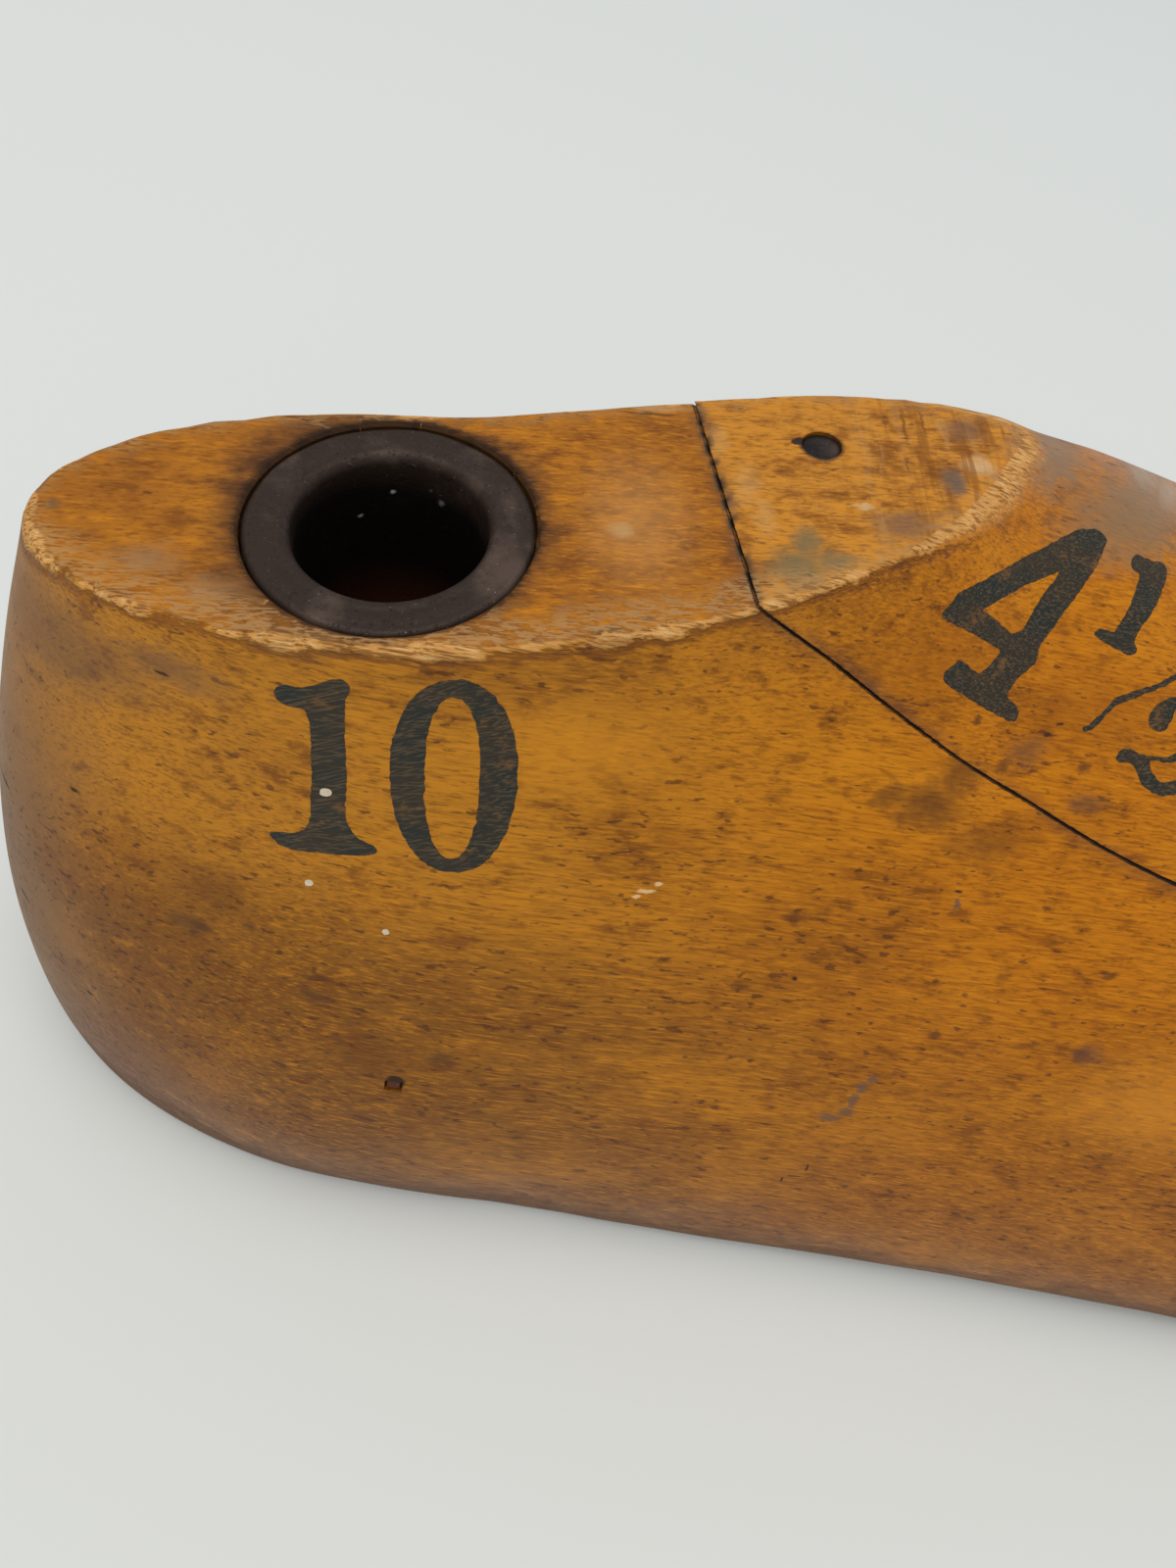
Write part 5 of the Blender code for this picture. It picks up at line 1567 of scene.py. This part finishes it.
def stencilInk(name):
    # Stencil ink soaked into the wood and rubbed: black with a green cast, olive brown where the wood
    # shows through fine scratches and worn patches.
    material, tree, shader, place = newMaterial(name)
    scratch = drawnNoise(tree, place, 3.2, 0.14, 2, 4, 0.5, -0.5).outputs[0]
    level = drawnNoise(tree, place, 2.6, 0.14, 2, 14, 0.5, -0.15).outputs[0]
    worn = drawnNoise(tree, place, 3.2, 2.2, 3, 6, 0.6).outputs[0]
    tint = drawnNoise(tree, place, 4.5, 3.0, 2, 12).outputs[0]
    speckle = drawnNoise(tree, place, 0.4, 0.2, 2, 15).outputs[0]
    crossed = addNode(tree, "Math", most, {0: scratch, 1: level}).outputs[0]
    scratched = shareOf(tree, crossed, 0.54, 0.66)
    gone = shareOf(tree, worn, 0.94, 1.15, [(speckle, 0.4), (crossed, 0.3)])
    green = shareOf(tree, tint, 0.4, 0.65)
    layers = [(green, "#222723", 1.0), (scratched, "#6b573c", 0.55), (gone, "#80582c", 0.7)]
    colour = layered(tree, "#322a1f", layers)
    rough = summed(tree, 0.5, [(scratched, 0.1), (gone, 0.1)])
    finishMaterial(tree, shader, colour, rough, scratch, 0.03, {"Specular IOR Level": 0.3})
    return material


def driedPaint(name):
    # Spatters of white oil paint, yellowed: dull off-white with a crumbly surface.
    material, tree, shader, place = newMaterial(name)
    crumbs = drawnNoise(tree, place, 0.2, 0.2, 3, 2).outputs[0]
    colour = layered(tree, "#efe4cf", [(crumbs, "#c8b08c", 1.0)])
    finishMaterial(tree, shader, colour, 0.7, crumbs, 0.06)
    return material


def dress(piece, material):
    piece.data.materials.clear()
    piece.data.materials.append(material)


waist = [float(toRow((x, 0, 0))[0] / mm) for x in (66.0, 80.0)]
dress(lastBody, shellackedMaple("carved_maple_shellacked", bodyMarks, 0.0, None))
dress(instepBlock, shellackedMaple("carved_maple_shellacked_block", blockMarks, 57.0, waist))
lint = [onBore(*speck) for speck in boreSpecks]
dress(pieces["thimble"], brownedSteel("turned_steel_browned", "#32251f", "#3c2d25", lint))
blackened = brownedSteel("peened_steel_blackened", "#191416", "#251c1f", [])
for node in ("spring_pin", "tack_stub"):
    dress(pieces[node], blackened)
wire = steelWire("drawn_steel_aged")
for node in ("block_stud", "catch_spring"):
    dress(pieces[node], wire)
dress(pieces["guide_dowel"], birchDowel("planed_birch"))
ink = stencilInk("rubbed_stencil_ink")
for piece in (numeralTen, numeralHalf):
    dress(piece, ink)
paint = driedPaint("dried_white_paint")
for speck in paintSpecks:
    dress(speck, paint)
print("materials", len(bpy.data.materials))


view = {
    "focalPixels": 1202.0,                          # in the photograph's 1200 by 1600 frame
    "imageHigh": 1600,
    "sensor": 36.0,
    "place": (36.07, -55.91, 115.40),               # in the last's own lines, in mm
    "plateNormalSeen": (0.074, -0.555, -0.829),     # the plate's normal: right, down and away
}
studio = {
    "floor": "#e9eceb",
    "floorHalf": 4.0,
    "air": "#dfe5e6",
    "airStrength": 0.54,
    # name: (place, size in metres, watts, colour)
    "lamps": {
        "window": ((0.95, 0.85, 0.44), 0.7, 2.0, "#eef4ff"),
        "ceiling": ((-0.22, -0.15, 1.0), 0.9, 6.2, "#fffaf4"),
    },
}


def makeCamera():
    # The plate's normal and the last's length, as the camera sees them, give how it is turned.
    seen = unit(np.array(view["plateNormalSeen"]))
    along = unit(np.array([1.0, 0, 0]) - seen * seen[0])
    tilt = lines["plateTilt"]
    world = [np.array([math.cos(tilt), 0, math.sin(tilt)]), np.array([0, 1.0, 0]), plateNormal]
    parts = zip((along, np.cross(seen, along), seen), world)
    turn = sum(np.outer(s, w) for s, w in parts)   # world to right, down, away
    data = bpy.data.cameras.new("camera")
    data.sensor_fit = "VERTICAL"
    data.sensor_height = view["sensor"]
    data.lens = view["focalPixels"] / view["imageHigh"] * view["sensor"]
    data.clip_start = 0.005
    camera = putInScene("camera", data)
    matrix = np.eye(4)
    matrix[:3, :3] = np.stack([turn[0], -turn[1], -turn[2]], -1)
    matrix[:3, 3] = toRow(view["place"])
    camera.matrix_world = Matrix(matrix)
    bpy.context.scene.camera = camera


def makeStage():
    # matte white paper under soft air light
    half = studio["floorHalf"]
    mesh = bpy.data.meshes.new("floor")
    corners = [(-half, -half, 0), (half, -half, 0), (half, half, 0), (-half, half, 0)]
    mesh.from_pydata(corners, [], [(0, 1, 2, 3)])
    floor = putInScene("floor", mesh)
    material, _, shader, _ = newMaterial("matte_white_paper")
    shader.inputs["Base Color"].default_value = linearColour(studio["floor"])
    shader.inputs["Roughness"].default_value = 0.9
    mesh.materials.append(material)
    world = bpy.data.worlds.new("studio")
    bpy.context.scene.world = world
    world.use_nodes = True
    back = world.node_tree.nodes["Background"]
    back.inputs["Color"].default_value = linearColour(studio["air"])
    back.inputs["Strength"].default_value = studio["airStrength"]


def makeLamp(name, place, size, power, colour):
    data = bpy.data.lights.new(name, "AREA")
    data.size, data.energy, data.color = size, power, linearColour(colour)[:3]
    lamp = putInScene(name, data)
    lamp.location = place
    lamp.rotation_euler = (-Vector(place)).to_track_quat("-Z", "Y").to_euler()


makeCamera()
makeStage()
for name, look in studio["lamps"].items():
    makeLamp(name, *look)
bpy.context.scene.view_settings.view_transform = "Standard"
print("stage")
